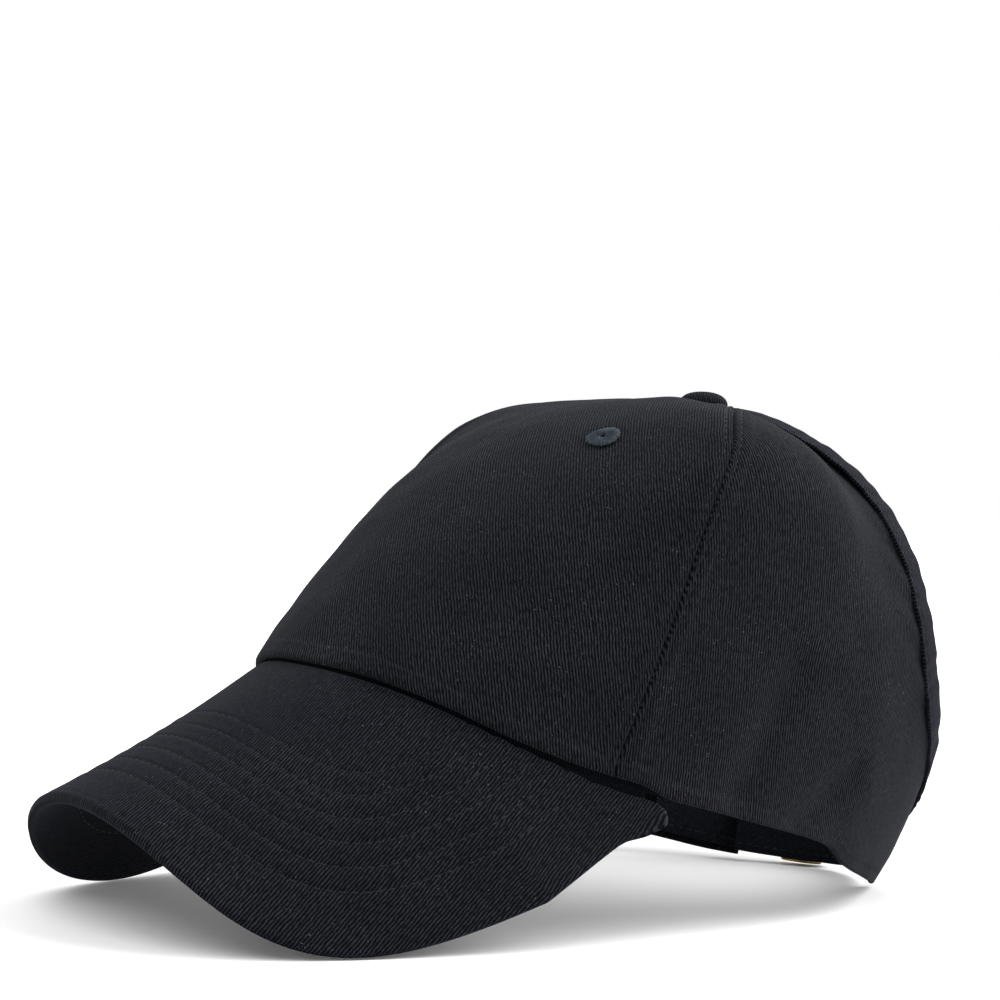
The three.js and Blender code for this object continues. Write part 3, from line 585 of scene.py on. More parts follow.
SEEN_ACROSS = seen_slant(5)
RIGHT_ACROSS = np.array([0.35, -0.6, 0.72])
front_shares = np.linspace(0.03, TOP_SHARE, 151)
front_cloth = panel(
    "front_panel_cloth", 221, front_shares, front_edges, front_relief, SEEN_ACROSS, (0.72, 0.3)
)
side_key = np.array([0.03, 0.13, 0.155, 0.185, 0.24, 0.32, 0.8, 0.88, 0.93, TOP_SHARE])
side_rows = np.array([0, 16, 26, 44, 62, 76, 150, 168, 184, 196])
side_shares = np.interp(np.linspace(0, 196, 187), side_rows, side_key)
left_cloth = panel(
    "left_panel_cloth", 155, side_shares, side_edges(1), side_relief(1), SEEN_ACROSS, (0.25, 0.5)
)
right_cloth = panel(
    "right_panel_cloth", 155, side_shares, side_edges(-1), side_relief(-1), RIGHT_ACROSS, (0.4, 0.4)
)


# Visor
ROW_COUNT = 6
ROW_GAP_TURN, ROW_GAP_FORWARD = 4.1, 6.45
FIRST_ROW_TURN, FIRST_ROW_FORWARD = 59.5, 57.6
ROW_REACH = 84.0
VISOR_WAVES = 0.25


def visor_inner(angle):
    turn, forward, _ = visor_under(*rim_plan(angle, 0.15))
    tucked = 1.2 * (1 - smooth_step(40, 56, np.abs(angle)))
    return turn, forward - tucked + 1.1 * smooth_step(34, 52, np.abs(angle))


def visor_bow(bow, widest, longest):
    """Half of a curve round the visor, from its front to its side: turn and distance forward."""
    turn = widest * np.sin(bow) ** OUTLINE_POWER
    return turn, VISOR_WIDEST + (longest - VISOR_WIDEST) * np.cos(bow) ** OUTLINE_POWER


def visor_outline(count):
    """The visor's outer edge from one corner to the other, as turn and distance forward."""
    corner_turn, corner_forward, _ = visor_under(*rim_plan(np.array(VISOR_END + 2.3), 0.55))
    turn, forward = visor_bow(np.linspace(0, np.pi / 2, 400), SIDE_ANGLE, VISOR_LENGTH)
    back = np.linspace(0, 1, 60)[1:]
    turn = np.append(turn, SIDE_ANGLE - (SIDE_ANGLE - corner_turn) * back**2)
    forward = np.append(forward, VISOR_WIDEST + (corner_forward + 1.3 - VISOR_WIDEST) * back)
    turn = np.concatenate([-turn[:0:-1], turn])
    forward = np.concatenate([forward[:0:-1], forward])
    return evenly(stack(turn * ARC_WIDTH, forward), count, turn, forward)[:2]


def stitch_row_size(k):
    return np.radians(FIRST_ROW_TURN - ROW_GAP_TURN * k), FIRST_ROW_FORWARD - ROW_GAP_FORWARD * k


def visor_relief(turn, forward):
    ahead = np.maximum(forward - VISOR_WIDEST, 0)
    total = np.zeros_like(turn)
    power = 2 / OUTLINE_POWER
    for k in range(ROW_COUNT):
        widest, longest = stitch_row_size(k)
        place = np.abs(turn / widest) ** power + (ahead / (longest - VISOR_WIDEST)) ** power
        away = (place ** (1 / power) - 1) * ROW_REACH
        total += 0.12 * bell(away - 3.2, 2.2) - 0.34 * bell(away, 0.75)
    return total


def visor_grid(columns, rows):
    inner = visor_inner(np.linspace(-VISOR_END, VISOR_END, columns))
    reach = np.linspace(0, 1, rows)
    ends = zip(inner, visor_outline(columns))
    return (start[:, None] + (end - start)[:, None] * reach for start, end in ends)


def build_visor():
    turn, forward = visor_grid(columns=300, rows=121)
    top = visor_point(turn, forward)
    normal = visor_normal(turn, forward)
    down = stack(0.0, 0.0, -VISOR_THICKNESS / np.maximum(normal[..., 2], 0.72))
    away = np.linalg.norm(top - top[:, :1], axis=-1)
    mix = smooth_step(3, 15, away)[..., None]
    half = (down * (1 - mix) - normal * VISOR_THICKNESS * mix) * 0.5
    centre = top + half
    to_edge = np.linalg.norm(top - top[:, -1:], axis=-1)
    rows = visor_relief(turn, forward)
    relief = rows - 0.16 * bell(to_edge - 2.6, 0.7) + soft_waves(top) * VISOR_WAVES
    pull = np.clip(to_edge / (VISOR_THICKNESS * 0.5), 0, 1)
    bulge = np.sqrt(np.maximum(1 - (1 - pull) ** 2, 0.0))[..., None]
    upper = centre - (half + unit(half) * relief[..., None]) * bulge
    lower = centre + (half + unit(half) * (rows * 0.8)[..., None]) * bulge
    return closed_sheet("visor_cloth", upper, lower, weave_of(top, seen_slant(-44), (0.66, 0.5)))


visor_cloth = build_visor()


# Sweatband
BAND_END = 140.0
BAND_FOOT, BAND_HEIGHT, BAND_THICKNESS = 0.4, 26.5, 1.3
BAND_SEAMS = (3.0, 24.0)


def build_band():
    columns, rows = 260, 26
    angle = np.linspace(-BAND_END, BAND_END, columns)[:, None] * np.ones((1, rows))
    height = BAND_FOOT + BAND_HEIGHT * np.linspace(0, 1, rows)[None, :]
    share = height / share_speed(angle[:, 0])[:, None]
    for _ in range(3):
        rise = crown_point(angle, share)[..., 2] - rim_height(angle)
        share = share * height / np.maximum(rise, 0.1)
    points = crown_point(angle, share)
    normals = crown_normal(angle, share)
    thin = 1 - 0.75 * bell(height - height[:, :1], 0.8) - 0.75 * bell(height - height[:, -1:], 0.8)
    depth = CLOTH + 0.55 + fold_depth(points)
    puff = 0.35 * bell(height - 14, 9) + 0.2 * small_waves(points)
    groove = 0.3 * sum(bell(height - seam, 0.5) for seam in BAND_SEAMS)
    outer = points - normals * depth[..., None]
    inner = points - normals * (depth + (BAND_THICKNESS + puff) * thin - groove)[..., None]
    return closed_sheet("sweatband_cloth", outer, inner, stack(np.radians(angle) * 85, height, 0.0))


band_cloth = build_band()


# Binding tape round the rear opening
TAPE_WIDTH, TAPE_THICKNESS, TAPE_GAP = 9.2, 0.9, 0.35
TAPE_OUT = TAPE_GAP + TAPE_THICKNESS
TAPE_SEAM = TAPE_WIDTH - 1.3
TAPE_STEPS = 620
TAPE_SWELL = 0.75


def round_back(surface, angle, share):
    """A place or normal of the crown at angles that run on past the back."""
    return surface(np.where(angle > HALF_TURN, angle - 2 * HALF_TURN, angle), share)


def tape_path():
    """Angles and shares along the opening's edge, from the left rim to the right, and distances."""
    last = REAR_EDGE[-1][0]
    share = np.linspace(REAR_EDGE[OPENING_START][0], last, 1200)
    angle = rear_angle(np.minimum(share, last - 1e-6))
    angle[-1] = HALF_TURN
    angle = np.append(angle, 2 * HALF_TURN - angle[-2::-1])
    share = np.append(share, share[-2::-1])
    return evenly(round_back(crown_point, angle, share), TAPE_STEPS, angle, share)


tape_angle, tape_share, tape_place = tape_path()
tape_edge = round_back(crown_point, tape_angle, tape_share)
tape_normal = round_back(crown_normal, tape_angle, tape_share)
tape_into = unit(np.cross(tape_normal, unit(np.gradient(tape_edge, axis=0))))
tape_top = smooth_step(138, 158, HALF_TURN - np.abs(HALF_TURN - tape_angle))
tape_narrowing = 1 - 0.25 * tape_top * smooth_step(0.8, 0.9, tape_share)
tape_ripple = 0.65 * wandering_wave(tape_place, 9.2, 2.4, 17)
tape_ripple += 0.6 * wandering_wave(tape_place, 17, 2.2, 21)
tape_pucker = wandering_wave(tape_place, 6.1, 3.1, 11) * np.sin(tape_place / 8.3)

# Change of angle and share for one millimetre into the cloth, square to the edge
tape_ways = np.stack([
    (round_back(crown_point, tape_angle + 0.2, tape_share) - tape_edge) / 0.2,
    (round_back(crown_point, tape_angle, tape_share + 0.002) - tape_edge) / 0.002,
], 1)
tape_step = np.linalg.solve(tape_ways @ tape_ways.transpose(0, 2, 1), tape_ways @ tape_into[..., None])
tape_step = tape_step[..., 0] * tape_narrowing[:, None]


def tape_wave(fade):
    """How far the gathered tape swells, less towards its stitched edge."""
    strength = 0.5 + 0.5 * bell(tape_share - 0.42, 0.3)
    return strength * (0.42 * tape_ripple + 0.16 * tape_pucker) * (1 - 0.55 * fade)


def tape_line(length):
    """Places and normals along the tape, a length into the cloth and square to its edge."""
    angle, share = (stack(tape_angle, tape_share) + tape_step * max(length, 0)).T
    return round_back(crown_point, angle, share), round_back(crown_normal, angle, share)


def tape_profile():
    """Cross-section of the folded tape: distance into the cloth and height over its outside."""
    back = CLOTH + TAPE_OUT
    radius = (TAPE_OUT + back) / 2
    legs = np.linspace(1, 0.08, 9)
    nose = np.radians(np.linspace(90, -90, 9))
    outer = [(TAPE_WIDTH * t, TAPE_OUT) for t in legs]
    fold = [(-np.cos(a) * radius * 0.75, np.sin(a) * radius - CLOTH / 2) for a in nose]
    inner = [(TAPE_WIDTH * t, -back) for t in legs[::-1]]
    inside = [
        (TAPE_WIDTH, -CLOTH - TAPE_GAP), (0.4, -CLOTH - TAPE_GAP), (0.4, TAPE_GAP), (TAPE_WIDTH, TAPE_GAP)
    ]
    return outer + fold + inner + inside


def build_tape():
    lines, weave = [], []
    for length, lift in tape_profile():
        spot, normal = tape_line(length)
        fade = max(length, 0) / TAPE_WIDTH
        wave = tape_wave(fade)
        crease = 0.14 * tape_pucker * bell(length - (TAPE_WIDTH - 3), 3.0)
        crease = crease - 0.3 * bell(length - TAPE_SEAM, 0.6)
        height = lift + crease * np.sign(lift + CLOTH / 2) + wave * TAPE_SWELL - fold_depth(spot)
        inwards = min(length, 0) + wave * 0.7 * (1 - fade)
        lines.append(spot + normal * height[:, None] + tape_into * inwards[:, None])
        weave.append(bias_weave(tape_place, length))
    return tube("opening_binding_tape", np.array(lines), np.array(weave))


tape_cloth = build_tape()


# Stitches
STITCH_SIDES = 6
# share of its length, thickness, depth that it sinks
STITCH_RINGS = [(0, 0.45, 0.75), (0.22, 1, 0.1), (0.5, 1.05, 0), (0.78, 1, 0.1), (1, 0.45, 0.75)]


class Thread:
    """Collects short sewn stitches and makes them one object."""

    def __init__(self):
        self.points, self.faces = [], []

    def add(self, start, end, normal, radius):
        line = end - start
        side = unit(np.cross(line, normal))
        up = unit(normal)
        first = len(self.points)
        for t, size, sink in STITCH_RINGS:
            middle = start + line * t - up * radius * sink
            for turn in 2 * np.pi * np.arange(STITCH_SIDES) / STITCH_SIDES:
                offset = side * np.cos(turn) + up * np.sin(turn) * 0.8
                self.points.append(middle + offset * radius * size)
        index = first + np.arange(len(STITCH_RINGS) * STITCH_SIDES).reshape(-1, STITCH_SIDES)
        after = np.roll(index, -1, axis=1)
        sides = np.stack([index[:-1], after[:-1], after[1:], index[1:]], -1)
        self.faces += sides.reshape(-1, 4).tolist()
        self.faces += [index[0, ::-1].tolist(), index[-1].tolist()]

    def along(self, points, normals, length=2.5, gap=0.6, radius=0.2, lift=0.02):
        """Sews along a line of points."""
        reach = distance_along(points)
        place = random.uniform(0.2, 0.8)
        while place + length < reach[-1]:
            ends = []
            long = length * random.uniform(0.92, 1.05)
            for at in (place, place + long):
                spot = np.array([np.interp(at, reach, points[:, n]) for n in range(3)])
                turn = np.array([np.interp(at, reach, normals[:, n]) for n in range(3)])
                ends.append(spot + turn * lift)
            self.add(ends[0], ends[1], turn, radius)
            place += long + gap

    def made(self, name):
        return make_object(name, np.array(self.points), self.faces)


def seam_line(sign, away):
    """Places and normals along a front seam, a distance to its left."""
    share = np.linspace(0.035, 0.945, 160)
    base = seam_angle(sign, share)
    angle = base + away / side_step(base, share)
    points = crown_point(angle, share)
    normals = crown_normal(angle, share)
    height = -fold_depth(points) + soft_relief(points, share) + seam_relief(np.abs(away))
    return points + normals * height[:, None], normals


seam_thread = Thread()
for sign in (1, -1):
    for away in (TOPSTITCH, -TOPSTITCH):
        seam_thread.along(*seam_line(sign, away))
seam_stitches = seam_thread.made("seam_topstitching")

visor_thread = Thread()
rim_turn, rim_forward, _ = visor_under(*rim_plan(np.linspace(-70, 70, 281), 2.0))
for k in range(ROW_COUNT):
    widest, longest = stitch_row_size(k)
    turn, forward = visor_bow(np.linspace(0.0004, np.pi / 2, 500), widest, longest)
    tail = np.linspace(VISOR_WIDEST, -45, 60)[1:]
    turn = np.append(turn, np.full(len(tail), widest))
    forward = np.append(forward, tail)
    turn = np.concatenate([-turn[::-1], turn])
    forward = np.concatenate([forward[::-1], forward])
    keep = forward > np.interp(turn, rim_turn, rim_forward) + 2.5
    turn, forward = turn[keep], forward[keep]
    normals = visor_normal(turn, forward)
    points = visor_point(turn, forward)
    relief = (visor_relief(turn, forward) + soft_waves(points) * VISOR_WAVES)[:, None]
    visor_thread.along(points + normals * relief, normals, length=2.6, gap=0.55)
    under = points - normals * (VISOR_THICKNESS + relief)
    visor_thread.along(under, -normals, length=2.6, gap=0.55)
visor_stitches = visor_thread.made("visor_stitching")

tape_thread = Thread()
spot, normal = tape_line(TAPE_SEAM)
rise = tape_wave(TAPE_SEAM / TAPE_WIDTH) * TAPE_SWELL - fold_depth(spot)
lift = TAPE_OUT - 0.26 + 0.11 * tape_pucker
tape_thread.along(spot + normal * (rise + lift)[:, None], normal, length=2.3)
tape_thread.along(spot + normal * (rise - lift - CLOTH)[:, None], -normal, length=2.3)
tape_stitches = tape_thread.made("binding_stitching")


# Button
def build_button():
    turn = np.linspace(0, 2 * np.pi, 96, endpoint=False)[:, None]
    t = np.linspace(0, 1, 40)[None, 1:]
    bend = t * np.pi * 0.5
    reach = BUTTON_RADIUS * np.sin(np.minimum(bend * 1.02, np.pi / 2)) ** 0.86
    reach = np.where(t > 0.97, reach * 0.985, reach)
    reach = reach + 0.1 * np.sin(turn * 2 + 0.6) * t + 0.07 * np.sin(turn * 9 + 1.3) * t**3
    points = stack(np.cos(turn) * reach, np.sin(turn) * reach, BUTTON_HEIGHT * np.cos(bend) ** 0.9)
    base = points[:, -1:] * np.array([0.93, 0.93, 0.0]) + np.array([0.0, 0.0, -1.35])
    under = base * np.array([0.15, 0.15, 1.0])
    lines = np.concatenate([points, base, under], axis=1)
    lines += np.array([0.0, APEX_Y, APEX_TOP + BUTTON_GAP - 0.4])
    return tube("top_button_cloth", lines, bias_weave(lines[..., 1], lines[..., 0]))


button_cloth = build_button()


# Embroidered eyelet
EYELET_INNER, EYELET_OUTER = 0.7, 4.9
EYELET_STITCHES, EYELET_FINE = 38, 7


def build_eyelet():
    x_axis = unit(np.cross(EYELET_NORMAL, np.array([0.0, 0.0, 1.0])))
    y_axis = np.cross(EYELET_NORMAL, x_axis)
    angle = EYELET_ANGLE + np.linspace(-18, 18, 53)
    angle, share = np.meshgrid(angle, EYELET_SHARE + np.linspace(-0.08, 0.08, 41))
    cloth = (crown_point(angle, share) - EYELET_POINT).reshape(-1, 3)
    flat = stack(cloth @ x_axis, cloth @ y_axis)
    rise = cloth @ EYELET_NORMAL
    step = np.arange(EYELET_STITCHES * EYELET_FINE)[:, None]
    turn = 2 * np.pi * step / len(step)
    section = 2 * np.pi * np.arange(14) / 14
    uneven = 0.25 * np.sin(3 * turn + 1) + 0.15 * np.sin(step // EYELET_FINE * 2.4)
    half = (EYELET_OUTER - EYELET_INNER + uneven) / 2
    reach = EYELET_INNER + half * (1 + np.cos(section))
    up = (0.55 + 0.28 * np.abs(np.sin(np.pi * step / EYELET_FINE))) * np.sin(section) + 0.35
    place = stack(np.cos(turn) * reach, np.sin(turn) * reach)
    for ring, heights in zip(place, up):
        near = np.argsort(((flat - ring[:, None]) ** 2).sum(-1))[:, :4]
        heights += rise[near].mean(-1)
    points = EYELET_POINT + place @ np.array([x_axis, y_axis]) + up[..., None] * EYELET_NORMAL
    return tube("front_eyelet_stitches", points.transpose(1, 0, 2), joined=True)


eyelet_stitches = build_eyelet()


# Straps
STRAP_HEIGHT, STRAP_THICKNESS = 19.8, 1.3
STRAP_LIFT = 1.7
STRAP_SEAM = 2.2
STRAP_TOP_SHARE = 0.112
STRAP_STEP = 0.6
TAIL_DROOP = 2.0
# distance round the crown's back from its middle, depth inside the crown
RIGHT_PATH = [
    (61, 2.7), (52, 2.7), (38, 2.7), (28, 2.7), (20, 2.7), (16.5, 2.25), (13, 0.4),
    (10.2, -1.05), (6.6, -1.2), (4.9, -0.3), (4.4, 1.1), (5.1, 2.6), (7.2, 3.5), (11, 4.2),
    (16, 4.55), (26, 4.55), (36, 4.55),
]
LEFT_PATH = [
    (-61, 2.7), (-52, 2.7), (-40, 2.7), (-28, 2.7), (-18, 2.7), (-9, 2.7),
    (-2, 3.3), (5, 5.6), (12, 6.4), (24, 6.5), (36, 6.5),
]

back_angles = np.arange(180, 130, -0.25)
back_along = distance_along(stack(*rim_plan(back_angles)))


def strap_point(along, depth, height):
    angle = np.interp(np.abs(along), back_along, back_angles) * np.where(along > 0, -1.0, 1.0)
    low = crown_point(angle, 0)
    up = unit(crown_point(angle, STRAP_TOP_SHARE) - low)
    aside = crown_point(angle - 1, 0) - crown_point(angle + 1, 0)
    aside = np.where((np.abs(angle) > 178.9)[..., None], np.array([-1.0, 0.0, 0.0]), aside)
    outward = unit(np.cross(up, aside))
    centre = stack(0.0, CENTRE_Y, low[..., 2])
    outward *= np.sign(((low - centre) * outward).sum(-1))[..., None]
    return low + up * np.asarray(height)[..., None] - outward * np.asarray(depth)[..., None]


def strap_layout(rows):
    """A strap's path, the directions out of its face, and distances along it."""
    rows = np.array(rows, float)
    rows = resampled(rows, (len(rows) - 1) * 12 + 1, 0)
    count = int(distance_along(rows)[-1] / STRAP_STEP) + 1
    *path, place = evenly(rows, count, rows[:, 0], rows[:, 1])
    path = stack(*path)
    run = unit(np.gradient(path, axis=0))
    return path, stack(-run[:, 1], run[:, 0]), place


def strap_lift(along, droop):
    """How high a strap's lower edge is, where the inner strap's tail hangs down by its droop."""
    return STRAP_LIFT - droop * smooth_step(-16, 12, along)


def strap_half(height):
    """Half of the strap's thickness: it swells at its middle, and its seams lie in grooves."""
    seams = bell(height - STRAP_SEAM, 0.5) + bell(height - STRAP_HEIGHT + STRAP_SEAM, 0.5)
    return STRAP_THICKNESS / 2 + 0.12 * bell(height - STRAP_HEIGHT / 2, 6) - 0.22 * seams


def build_strap(name, rows, droop):
    path, side, place = strap_layout(rows)
    half = STRAP_THICKNESS / 2
    edge = [(half * (1 - np.sin(turn)) * 0.8, half * np.cos(turn)) for turn in np.linspace(0, np.pi, 7)]
    levels = np.linspace(STRAP_HEIGHT - half, half, 16)[1:-1]
    across = [(STRAP_HEIGHT - height, offset) for height, offset in edge]
    across += [(height, -strap_half(height)) for height in levels]
    across += edge[::-1]
    across += [(height, strap_half(height)) for height in levels[::-1]]
    lines, weave = [], []
    for height, offset in across:
        along, depth = (path + side * offset).T
        lines.append(strap_point(along, depth, height + strap_lift(along, droop)))
        weave.append(bias_weave(place, height))
    return tube(name, np.array(lines), np.array(weave))


strap_left_cloth = build_strap("strap_left_cloth", LEFT_PATH, TAIL_DROOP)
strap_right_cloth = build_strap("strap_right_cloth", RIGHT_PATH, 0.0)

strap_thread = Thread()
for rows, droop in ((LEFT_PATH, TAIL_DROOP), (RIGHT_PATH, 0.0)):
    path, side, place = strap_layout(rows)
    for face in (1, -1):
        for height in (STRAP_SEAM, STRAP_HEIGHT - STRAP_SEAM):
            spot = path + side * face * (STRAP_THICKNESS / 2 - 0.12)
            level = height + strap_lift(path[:, 0], droop)
            points = strap_point(*spot.T, level)
            outward = unit(points - strap_point(*path.T, level))
            strap_thread.along(points, outward, length=2.3, radius=0.22)
strap_stitches = strap_thread.made("strap_stitching")


# Brass slide buckle
BUCKLE_MIDDLE, BUCKLE_HALF, BUCKLE_BAR, BUCKLE_THICKNESS = 13.5, 7.0, 1.7, 1.2


def build_buckle():
    low, high = STRAP_LIFT - 1.2, STRAP_HEIGHT + STRAP_LIFT + 1
    floor, roof = STRAP_LIFT - 0.5, STRAP_HEIGHT + STRAP_LIFT + 0.5
    clear = BUCKLE_HALF - BUCKLE_BAR
    t = np.arange(18) / 18
    bow, arch = BUCKLE_HALF * np.cos(t * np.pi), np.sin(t * np.pi)
    outer = np.concatenate([
        stack(bow, high + 3.2 * arch), stack(-BUCKLE_HALF, high + (low - high) * t),
        stack(-bow, low - 0.5 * arch), stack(BUCKLE_HALF, low + (high - low) * t),
    ])
    inner = np.concatenate([
        stack(clear * (1 - 2 * t), roof), stack(-clear, roof + (floor - roof) * t),
        stack(clear * (2 * t - 1), floor), stack(clear, floor + (roof - floor) * t),
    ])
    ease = 0.5 - 0.5 * np.cos(np.linspace(0, np.pi, 13))
    bulge = np.sqrt(np.maximum(1 - (2 * ease - 1) ** 2, 0)) ** 0.55
    steps = list(zip(ease, bulge)) + list(zip(ease, -bulge))[-2:0:-1]
    lines = []
    for ease, bulge in steps:
        across, height = (outer + (inner - outer) * ease).T
        depth = 0.7 - bulge * BUCKLE_THICKNESS / 2
        lines.append(strap_point(BUCKLE_MIDDLE - across, depth, height))
    return tube("slide_buckle_brass", np.array(lines), joined=True)


buckle_brass = build_buckle()


# Materials
class Nodes:
    """Short names for building one material's nodes."""

    def __init__(self, name):
        self.material = bpy.data.materials.new(name)
        self.material.use_nodes = True
        self.tree = self.material.node_tree
        self.shader = self.tree.nodes["Principled BSDF"]

    def give(self, node, inputs):
        """Sets a node's inputs to numbers or colours, or links them to other nodes' outputs."""
        for name, value in inputs.items():
            if isinstance(value, (int, float)):
                node.inputs[name].default_value = value
            elif isinstance(value, tuple):
                node.inputs[name].default_value = (*value, 1.0)
            else:
                self.tree.links.new(value, node.inputs[name])
        return node

    def node(self, kind, inputs):
        return self.give(self.tree.nodes.new("ShaderNode" + kind), inputs)

    def shade(self, inputs):
        self.give(self.shader, inputs)

    def math(self, operation, *values):
        node = self.node("Math", dict(enumerate(values)))
        node.operation = operation
        return node.outputs[0]

    def spread(self, value, amount, middle):
        """Noise about one half, drawn out by an amount about a new middle."""
        return self.math("MULTIPLY_ADD", self.math("SUBTRACT", value, 0.5), amount, middle)

    def weave(self):
        node = self.node("Attribute", {})
        node.attribute_name = "weave"
        split = self.node("SeparateXYZ", {0: node.outputs["Vector"]})
        return split.outputs[0], split.outputs[1]

    def noise(self, scale, detail=2.0, roughness=0.5):
        place = self.node("TexCoord", {}).outputs["Object"]
        inputs = {"Scale": scale, "Detail": detail, "Roughness": roughness, "Vector": place}
        return self.node("TexNoise", inputs).outputs["Fac"]

    def streaks(self, across, along, fine, coarse):
        """Noise drawn out along the wales, so that each one is broken and uneven."""
        across, along = self.math("MULTIPLY", across, fine), self.math("MULTIPLY", along, coarse)
        place = self.node("CombineXYZ", {0: across, 1: along}).outputs[0]
        node = self.node("TexNoise", {"Scale": 1.0, "Detail": 1.0, "Vector": place})
        return self.spread(node.outputs["Fac"], 2.2, 0.5)

    def ramp(self, value, *stops):
        node = self.node("ValToRGB", {0: value})
        items = node.color_ramp.elements
        while len(items) < len(stops):
            items.new(0.5)
        for item, (place, colour) in zip(items, stops):
            item.position = place
            item.color = (*colour, 1.0)
        return node.outputs[0]

    def mix(self, factor, first, second, kind="MIX"):
        node = self.node("Mix", {})
        node.data_type = "RGBA"
        node.blend_type = kind
        return self.give(node, {0: factor, 6: first, 7: second}).outputs[2]

    def bump(self, height, strength, distance, before=None):
        inputs = {"Strength": strength, "Distance": distance, "Height": height}
        if before is not None:
            inputs["Normal"] = before
        return self.node("Bump", inputs).outputs[0]


def twill(name, pitch, dark, light, lint=True):
    """Cotton twill: slanting wales of fine yarn with painted shade in their valleys, a dusty bloom and a
    few lint specks.
    """
    n = Nodes(name)
    across, along = n.weave()
    shifted = n.spread(n.noise(90.0, 3.0), 0.9, across)
    shifted = n.spread(n.noise(650.0, 1.0), 0.5, shifted)
    phase = n.math("MULTIPLY", shifted, 2 * np.pi / pitch)
    wale = n.math("MULTIPLY_ADD", n.math("SINE", phase), 0.5, 0.5)
    yarn = n.streaks(across, along, 0.9 / pitch, 0.55)
    height = n.math("MULTIPLY", wale, n.math("MULTIPLY_ADD", yarn, 0.55, 0.45))
    relief = n.math("ADD", height, n.math("MULTIPLY", n.noise(2600.0, 2.0), 0.35))
    # Painted shade: the colour follows the wales' height, dark in the valleys and light on the ridges,
    # standing in for how they catch light.
    tone = n.ramp(relief, (0.375, dark), (1.0, light))
    cloudy = n.ramp(n.noise(42.0, 4.0, 0.6), (0.3, (0.72, 0.74, 0.80)), (0.75, (1.25, 1.22, 1.18)))
    tone = n.mix(1.0, tone, cloudy, "MULTIPLY")
    if lint:
        speck = n.ramp(n.noise(1900.0, 0.0), (0.79, (0, 0, 0)), (0.86, (1, 1, 1)))
        patchy = n.ramp(n.noise(60.0, 1.0), (0.44, (0, 0, 0)), (0.6, (1, 1, 1)))
        amount = n.math("MULTIPLY", n.math("MULTIPLY", speck, patchy), 0.4)
        tone = n.mix(amount, tone, (0.14, 0.16, 0.19))
    fine = n.bump(relief, 0.75, 0.00016)
    n.shade({
        "Base Color": tone,
        "Roughness": n.math("MULTIPLY_ADD", wale, -0.08, 0.94),
        "Specular IOR Level": 0.04,
        "Sheen Weight": 0.02,
        "Sheen Roughness": 0.55,
        "Sheen Tint": (0.75, 0.82, 1.0),
        "Normal": n.bump(n.noise(160.0, 3.0), 0.25, 0.0004, fine),
    })
    return n.material


def thread_material(name, dark, light):
    """Sewing thread: two plies twisted round each other."""
    n = Nodes(name)
    ply = n.noise(1500.0, 2.0)
    n.shade({
        "Base Color": n.ramp(ply, (0.3, dark), (0.7, light)),
        "Roughness": n.math("MULTIPLY_ADD", ply, 0.2, 0.55),
        "Specular IOR Level": 0.15,
        "Sheen Weight": 0.04,
        "Normal": n.bump(ply, 0.4, 0.0001),
    })
    return n.material


def brass_material(name):
    """Antique brass, darker and duller in patches."""
    n = Nodes(name)
    patch = n.noise(220.0, 5.0, 0.65)
    tones = (0.3, (0.16, 0.1, 0.035)), (0.62, (0.62, 0.43, 0.17)), (0.85, (0.82, 0.62, 0.3))
    n.shade({
        "Base Color": n.ramp(patch, *tones),
        "Metallic": 1.0,
        "Roughness": n.math("MULTIPLY_ADD", patch, -0.25, 0.5),
        "Normal": n.bump(n.noise(900.0, 3.0), 0.25, 0.0001),
    })
    return n.material


# The dark colours are painted shade in the wales' valleys, and the light ones painted light on their
# ridges.
crown_twill = twill("crown_twill", 0.82, (0.0003, 0.0003, 0.0005), (0.0168, 0.0180, 0.0222))
visor_twill = twill("visor_twill", 0.86, (0.0003, 0.0003, 0.0006), (0.0146, 0.0161, 0.0214))
tape_twill = twill("tape_twill", 0.7, (0.0003, 0.0004, 0.0007), (0.0150, 0.0170, 0.0240))
band_twill = twill("band_twill", 0.6, (0.0006, 0.0010, 0.0016), (0.0035, 0.0055, 0.0085), lint=False)
navy_thread = thread_material("navy_thread", (0.0006, 0.0009, 0.0016), (0.0050, 0.0070, 0.0120))
eyelet_thread = thread_material("eyelet_thread", (0.0030, 0.0050, 0.0080), (0.0200, 0.0300, 0.0430))
brass = brass_material("antique_brass")

PIECES = [
    (front_cloth, crown_twill, "black_twill", "front_panel"),
    (left_cloth, crown_twill, "black_twill", "side_panel_left"),
    (right_cloth, crown_twill, "black_twill", "side_panel_right"),
    (visor_cloth, visor_twill, "black_twill", "visor"),
    (band_cloth, band_twill, "inner_band", "sweatband"),
    (tape_cloth, tape_twill, "binding_tape", "opening_binding"),
    (button_cloth, tape_twill, "black_twill", "top_button"),
    (eyelet_stitches, eyelet_thread, "stitching", "front_eyelet"),
    (strap_left_cloth, tape_twill, "black_twill", "strap_left"),
    (strap_right_cloth, tape_twill, "black_twill", "strap_right"),
    (buckle_brass, brass, "brass_buckle", "buckle"),
    (seam_stitches, navy_thread, "stitching", None),
    (visor_stitches, navy_thread, "stitching", None),
    (tape_stitches, navy_thread, "stitching", None),
    (strap_stitches, navy_thread, "stitching", None),
]
for piece, material, slot_name, node in PIECES:
    piece.data.materials.append(material)
    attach(piece, "root")
    if node:
        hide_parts(node)


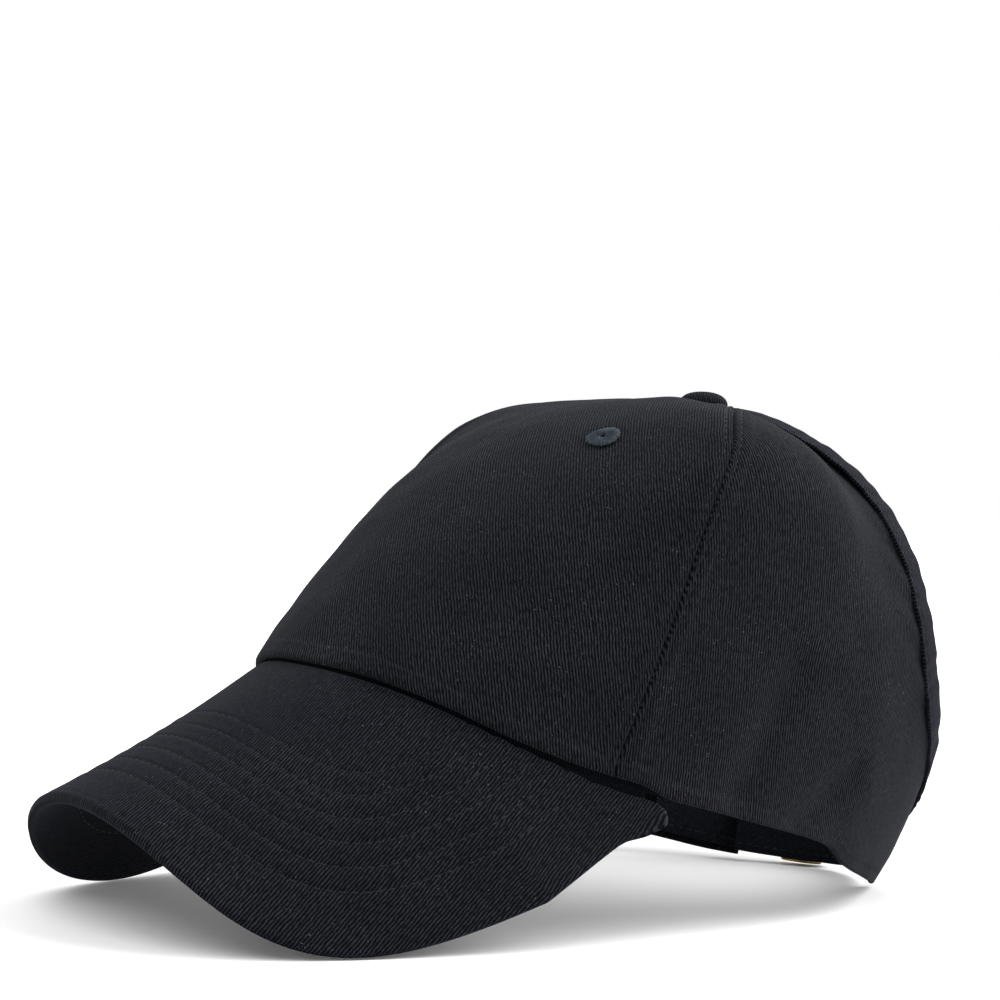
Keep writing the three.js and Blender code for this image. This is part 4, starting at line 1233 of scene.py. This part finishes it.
# Floor, light and camera
FLOOR_REACH = 6.0
FLOOR_DEPTH = 0.0002
floor_mesh = bpy.data.meshes.new("floor")
corners = [(x * FLOOR_REACH, y * FLOOR_REACH, 0) for x, y in ((-1, -1), (1, -1), (1, 1), (-1, 1))]
floor_mesh.from_pydata(corners, [], [(0, 1, 2, 3)])
floor = bpy.data.objects.new("floor", floor_mesh)
bpy.context.scene.collection.objects.link(floor)
floor.location.z = -FLOOR_DEPTH
floor_look = Nodes("pale_floor")
floor_look.shade({"Base Color": (0.76, 0.76, 0.76), "Roughness": 0.6})
floor.data.materials.append(floor_look.material)

world = bpy.data.worlds.new("soft_studio")
bpy.context.scene.world = world
world.use_nodes = True
background = world.node_tree.nodes["Background"]
background.inputs["Color"].default_value = (1.0, 1.0, 1.0, 1.0)
background.inputs["Strength"].default_value = 1.0


def soft_sun(name, towards, strength):
    data = bpy.data.lights.new(name, "SUN")
    data.energy = strength
    data.angle = np.radians(SUN_SOFTNESS)
    light = bpy.data.objects.new(name, data)
    light.rotation_mode = "QUATERNION"
    light.rotation_quaternion = Vector(towards).to_track_quat("Z", "Y")
    bpy.context.scene.collection.objects.link(light)


SUN_SOFTNESS = 50
soft_sun("front_softbox", (0.129, -0.483, 0.866), 1.9)
soft_sun("rear_softbox", (0.383, 0.663, 0.643), 3.8)
soft_sun("low_rear_softbox", (-0.224, 0.837, 0.5), 0.6)

CAMERA_EYE = np.array([574.6, -466.0, 117.6])
SENSOR_WIDTH = 36.0
FOCAL_PIXELS, PICTURE_PIXELS = 2535.0, 1000.0
camera_data = bpy.data.cameras.new("camera")
camera_data.sensor_width = SENSOR_WIDTH
camera_data.lens = SENSOR_WIDTH * FOCAL_PIXELS / PICTURE_PIXELS
camera_data.clip_start, camera_data.clip_end = 0.01, 50.0
camera = bpy.data.objects.new("camera", camera_data)
turned = Matrix((SEEN_RIGHT, SEEN_UP, SEEN_BACK)).transposed().to_4x4()
camera.matrix_world = Matrix.Translation((CAMERA_EYE + SHIFT) * MM) @ turned
bpy.context.scene.collection.objects.link(camera)
bpy.context.scene.camera = camera
bpy.context.scene.view_settings.view_transform = "Standard"
